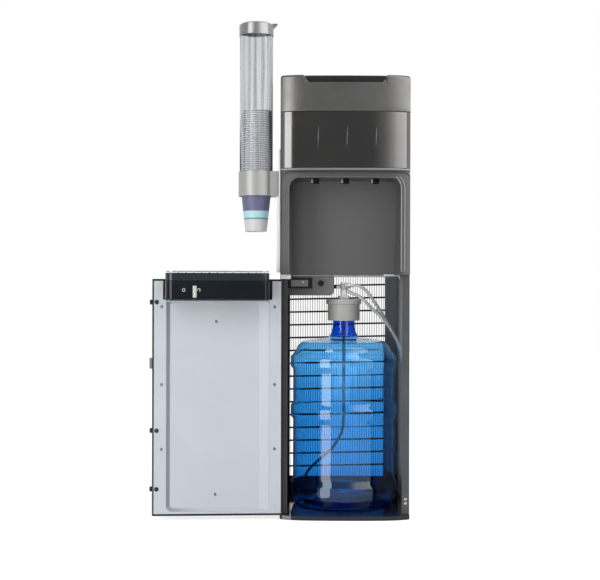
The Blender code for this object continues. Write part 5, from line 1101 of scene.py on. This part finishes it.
def make_niche_rim():
    """The rounded rim of the niche, with two raised lines down its right side, painted lighter than the rim
    as painted highlights.
    """
    half, top, corner, foot, middle = 0.1345, 0.8140, 0.0245, 0.590, 0.70
    line = [(-half, foot), (-half, middle), (-half, top - corner)]
    line += arc((-half + corner, top - corner), corner, corner, 180, 90, 8)[1:-1]
    line += [(-half + corner, top), (-0.05, top), (0.05, top), (half - corner, top)]
    line += arc((half - corner, top - corner), corner, corner, 90, 0, 8)[1:-1]
    line += [(half, top - corner), (half, middle), (half, foot)]
    bead("niche_rim", smooth_tube(on_front(line, 0.0004), 0.004, 0.0013), GRAPHITE)
    # Painted highlights: two lighter raised lines down the right side.
    side = half + 0.0065
    edge = [(side, foot), (side, middle), (side, 0.785), (half + 0.0050, 0.7975)]
    edge += [(half + 0.0005, 0.8080), (half - 0.0070, 0.8160)]
    for name, shift in (("inner", -0.0085), ("outer", 0.0)):
        line = on_front([(x + shift, z) for x, z in edge], -0.0001)
        bead(f"niche_{name}_edge_line", smooth_tube(line, 0.004, 0.0014), BEAD_GREY)


def make_display_marks():
    """Three slender level lights in the display and the small dash under each of them."""
    low, length, steps = 0.8892, 0.0428, 12
    for side, x in zip(SIDES, (-0.0650, 0.0035, 0.0722)):
        y = bowed(x) + 0.0001
        heights = [low + length * step / steps for step in range(steps + 1)]
        line = [(x + 0.0006 * math.cos(z * 60), y, z) for z in heights]
        light = swept(line, lambda share: 0.0004 + 0.0006 * math.sin(math.pi * share), 10)
        dash = rounded_box((x - 0.004, y - 0.0002, 0.8815), (x + 0.005, y + 0.0006, 0.8832), 0.0004)
        piece(f"{side}_level_light", light, MARK_GREY, "cabinet", (), 60)
        piece(f"{side}_level_dash", dash, LINE_DARK, "cabinet", (), 40)


def make_nozzles():
    """Square nozzles with round corners, black, each with a bright strip down its left corner: a painted
    highlight for the lamp at the left that shows on the nozzle.
    """
    pitch, shoulder, corners = 0.0715, 0.8128, 8
    for order, side in enumerate(SIDES):
        low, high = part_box(f"nozzle_{side}")
        x, y, foot = (order - 1) * pitch, (low.y + high.y) / 2, low.z + 0.003
        line = [(0.0030, foot), (0.0092, foot), (0.0098, foot + 0.001), (0.0101, 0.8125)]
        line += [(0.0060, shoulder), (0.0052, high.z), (0.0030, high.z), (0.0030, foot)]
        body = spun(line, (0, 0), corners)
        turned(body, "Z", math.pi / corners)
        moved(body, (x, y, 0))
        piece(f"{side}_nozzle_body", body, KEY_BLACK, "cabinet", (f"nozzle_{side}",), 20)
        # Painted highlight: a pale strip down the nozzle's left corner.
        start, end = (x - 0.0098, y - 0.0098, foot + 0.0005), (x - 0.0052, y - 0.0050, shoulder)
        highlight_strip = rounded_box(start, end, 0.0016, 4)
        piece(f"{side}_nozzle_strip", highlight_strip, BEAD_GREY, "cabinet", (), 40)


make_fascia()
make_keys()
make_lip()
make_niche_rim()
make_display_marks()
make_nozzles()


# Door and tray
def make_lid_lining():
    """The pale disc that closes the tube under its lid, with a shallow dish in the middle."""
    low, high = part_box("cup_tube")
    middle = (low + high) / 2
    radius, top = middle.x - low.x - 0.0006, high.z - 0.0008
    rim, floor = top - 0.0012, top - 0.0030
    dish = [(0, 0, floor), (radius - 0.0060, 0, floor), (radius - 0.0040, 0, rim), (radius, 0, rim)]
    line = [(place.x, place.z) for place in eased_line(dish, 0.002)] + [(radius, top), (0, top)]
    lining = spun(line, middle, 64)
    piece("lid_lining", lining, PALE_PLASTIC, body_of("cup_tube"), (), 45)


def make_bumpers():
    """Flat rubber buttons near the free edge of the liner, each on a stem through the edge of the door."""
    dome = [(0, 0.00022), (0.0044, 0.00020), (0.0053, 0.00014), (0.0056, 0.00004), (0.0056, -0.0006)]
    for name in ("upper", "middle", "lower"):
        low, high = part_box(f"bumper_{name}")
        _, y, middle = (low + high) / 2
        knob = spun([*dome, (0, -0.0006)], (0, 0), 28)
        for vertex in knob.verts:
            across, up, out = vertex.co
            vertex.co = on_door(0.1440 + across, LINER_FACE_Y + out, middle + up)
        bmesh.ops.reverse_faces(knob, faces=knob.faces)
        stem = swept([(low.x, y, middle), (high.x, y, middle)], 0.0060, 20)
        edges = [edge for edge in stem.edges if edge.calc_face_angle(0) > 1.2]
        bmesh.ops.bevel(stem, geom=edges, offset=0.0012, segments=3, **ROUND)
        piece(f"{name}_bumper", joined(knob, stem), RUBBER, "door", (f"bumper_{name}",), 50)


def round_rectangle(left, low, right, high, radius):
    points = []
    corners = ((right - radius, high - radius), (left + radius, high - radius))
    corners += ((left + radius, low + radius), (right - radius, low + radius))
    for order, centre in enumerate(corners):
        points += arc(centre, radius, radius, 90 * order, 90 * order + 90, 6)
    return points


def make_liner_ramps():
    """The slanted sides of the liner's wide recess and the ledge under the tray."""
    outer = round_rectangle(-0.1218, 0.0212, 0.1208, 0.5215, 0.0118)
    inner = round_rectangle(-0.0975, 0.0280, 0.1130, 0.5170, 0.0080)
    face, floor = LINER_FACE_Y - 0.0002, LINER_FACE_Y - 0.0068
    lines = []
    for outline, y in ((outer, face), (inner, floor), (outer, floor)):
        lines.append([on_door(x, y, z) for x, z in outline])
    form, rows = sheet(lines, True)
    skin(form, rows[-1], rows[0])
    bmesh.ops.recalc_face_normals(form, faces=form.faces)
    # The slanted sides carry painted shade.
    piece("liner_recess_sides", form, RAMP_PAINTED_SHADE, "door", (), 50)
    line = [on_door(x, LINER_FACE_Y, 0.5190) for x in (-0.1245, -0.06, 0.0, 0.06, 0.1235)]
    piece("liner_ledge", smooth_tube(line, 0.01, 0.0017), LINER_WHITE, "door", (), 60)


def lower_rim(place):
    """Lowers the tub's rim, so that light passes between it and the cover on its feet."""
    rim, gap = 0.5862, 0.0026
    return place - Vector((0, 0, gap)) if place.z > rim else place


def make_tray():
    """The tub, its cover with fine slots, and the row of small feet that the cover stands on."""
    eased("drip_tray", TUB_BLACK, 0.0008, shape=lower_rim)
    eased("drip_grille", GRILLE_STEEL, 0.0003)
    foot = rounded_box((-0.0016, -0.0014, 0.5850), (0.0016, 0.0014, 0.5886), 0.0004)
    places = [on_door(-0.1080 + step * 0.0180, -0.0762, 0) for step in range(13)]
    scattered("cover_feet", foot, places, GRILLE_STEEL, "drip_grille", (), (0, 0, 0.05), 2)


def make_cradle_reflections():
    """Painted reflections on the front of the cradle, made as a pale tab between two wire eyes."""
    x, z, eye_z = -0.3496, 0.5417, 0.5454
    y = onto("tray_cradle", x, z).y
    # Painted reflection: the pale tab and the eyes stand for things mirrored in the cradle's front.
    tab = rounded_box((x - 0.0043, y - 0.0014, z - 0.0138), (x + 0.0043, y + 0.0010, z + 0.0138), 0.0006)
    piece("float_tab", tab, PALE_PLASTIC, "door", (), 40)
    eyes = []
    for middle, start, end in ((-0.3746, 0, 360), (-0.3402, -60, 200)):
        y = onto("tray_cradle", middle, eye_z).y - 0.0006
        ring = arc((middle, eye_z), 0.0030, 0.0036, start, end, 24)
        eyes.append(swept([(x, y, z) for x, z in ring], 0.0006, 8))
    piece("float_eyes", joined(*eyes), HINGE_STEEL, "door", (), 60)


make_lid_lining()
make_bumpers()
make_liner_ramps()
make_tray()
make_cradle_reflections()


# Fittings round the bay
def make_fittings():
    """A white dot on the switch's paddle as a painted highlight, and the latch's arm with its hook."""
    # Painted highlight: a white dot on the paddle.
    line = [(0, 0.0012), (0.0012, 0.0010), (0.0021, 0.0004), (0.0023, 0.0), (0.0023, -0.0006), (0, -0.0006)]
    dot = spun(line, (0, 0), 24)
    turned(dot, "X", UPRIGHT)
    moved(dot, (-0.1002, -0.0676, 0.5660))
    piece("paddle_dot", dot, WHITE_PLASTIC, "door_switch_paddle", (), 60)
    arm = rounded_box((0.0985, -0.0695, 0.5805), (0.1395, -0.0615, 0.5862), 0.0018, 4)
    hook = rounded_box((0.1362, -0.0690, 0.5745), (0.1392, -0.0640, 0.5830), 0.0010, 3)
    piece("latch_arm", joined(arm, hook), HINGE_STEEL, "cabinet", (), 40)


make_fittings()


# Finishes of the other CAD nodes
eased("front_frame", FRAME_GRAPHITE_PAINTED_SHADE, 0.0008)
eased("display_panel", DISPLAY_BLACK, 0.0006)
eased("base_tray", BASE_BLACK_PAINTED_LIGHT, 0.0025, 4)
eased("left_side_panel", SHEET_PAINTED_SHADE, 0.0005)
eased("right_side_panel", INNER_SHEET_PAINTED_LIGHT, 0.0005)
eased("top_cover", TOP_BLACK, 0.0012)
eased("door_panel", GLOSS_BLACK, 0.0010)
eased("door_liner", LINER_WHITE, 0.0020, 3)
eased("tray_cradle", TRAY_BLACK, 0.0010)
eased("cup_holder", HOLDER_SILVER, 0.0010)
eased("tube_lid", LID_STEEL, 0.0006)
eased("holder_rail", RAIL_PLASTIC, 0.0010)
eased("probe_collar", PALE_PLASTIC, 0.0008)
eased("probe_elbow", PROBE_CLEAR, 0.0006)
eased("pump_housing", HOUSING_GREY_PAINTED_SHADE, 0.0010)
eased("door_switch_frame", GLOSS_BLACK, 0.0005)
eased("door_switch_paddle", PADDLE_GREY, 0.0005)
eased("reset_button", GLOSS_BLACK, 0.0005)
eased("upper_hinge", HINGE_STEEL, 0.0003)
coat(ZINC, "deck_plate", "tank_shelf", "hot_tank", "lower_hinge_pin")
coat(WHITE_PLASTIC, "cold_tank", "valve_left", "valve_centre", "valve_right")
coat(BOARD, "control_board")
coat(RED, "heater_switch")
coat(PADDLE_GREY, "latch_strike")
coat(GLOSS_BLACK, "switch_plate", "drain_plug")
coat(BLACK_MOULDING, "water_pump", "cooling_switch", "power_inlet")
coat(BLACK_SHEET, "rear_cover", "compressor", "condenser_bracket_left", "condenser_bracket_right")

bpy.context.scene.view_settings.view_transform = "Standard"
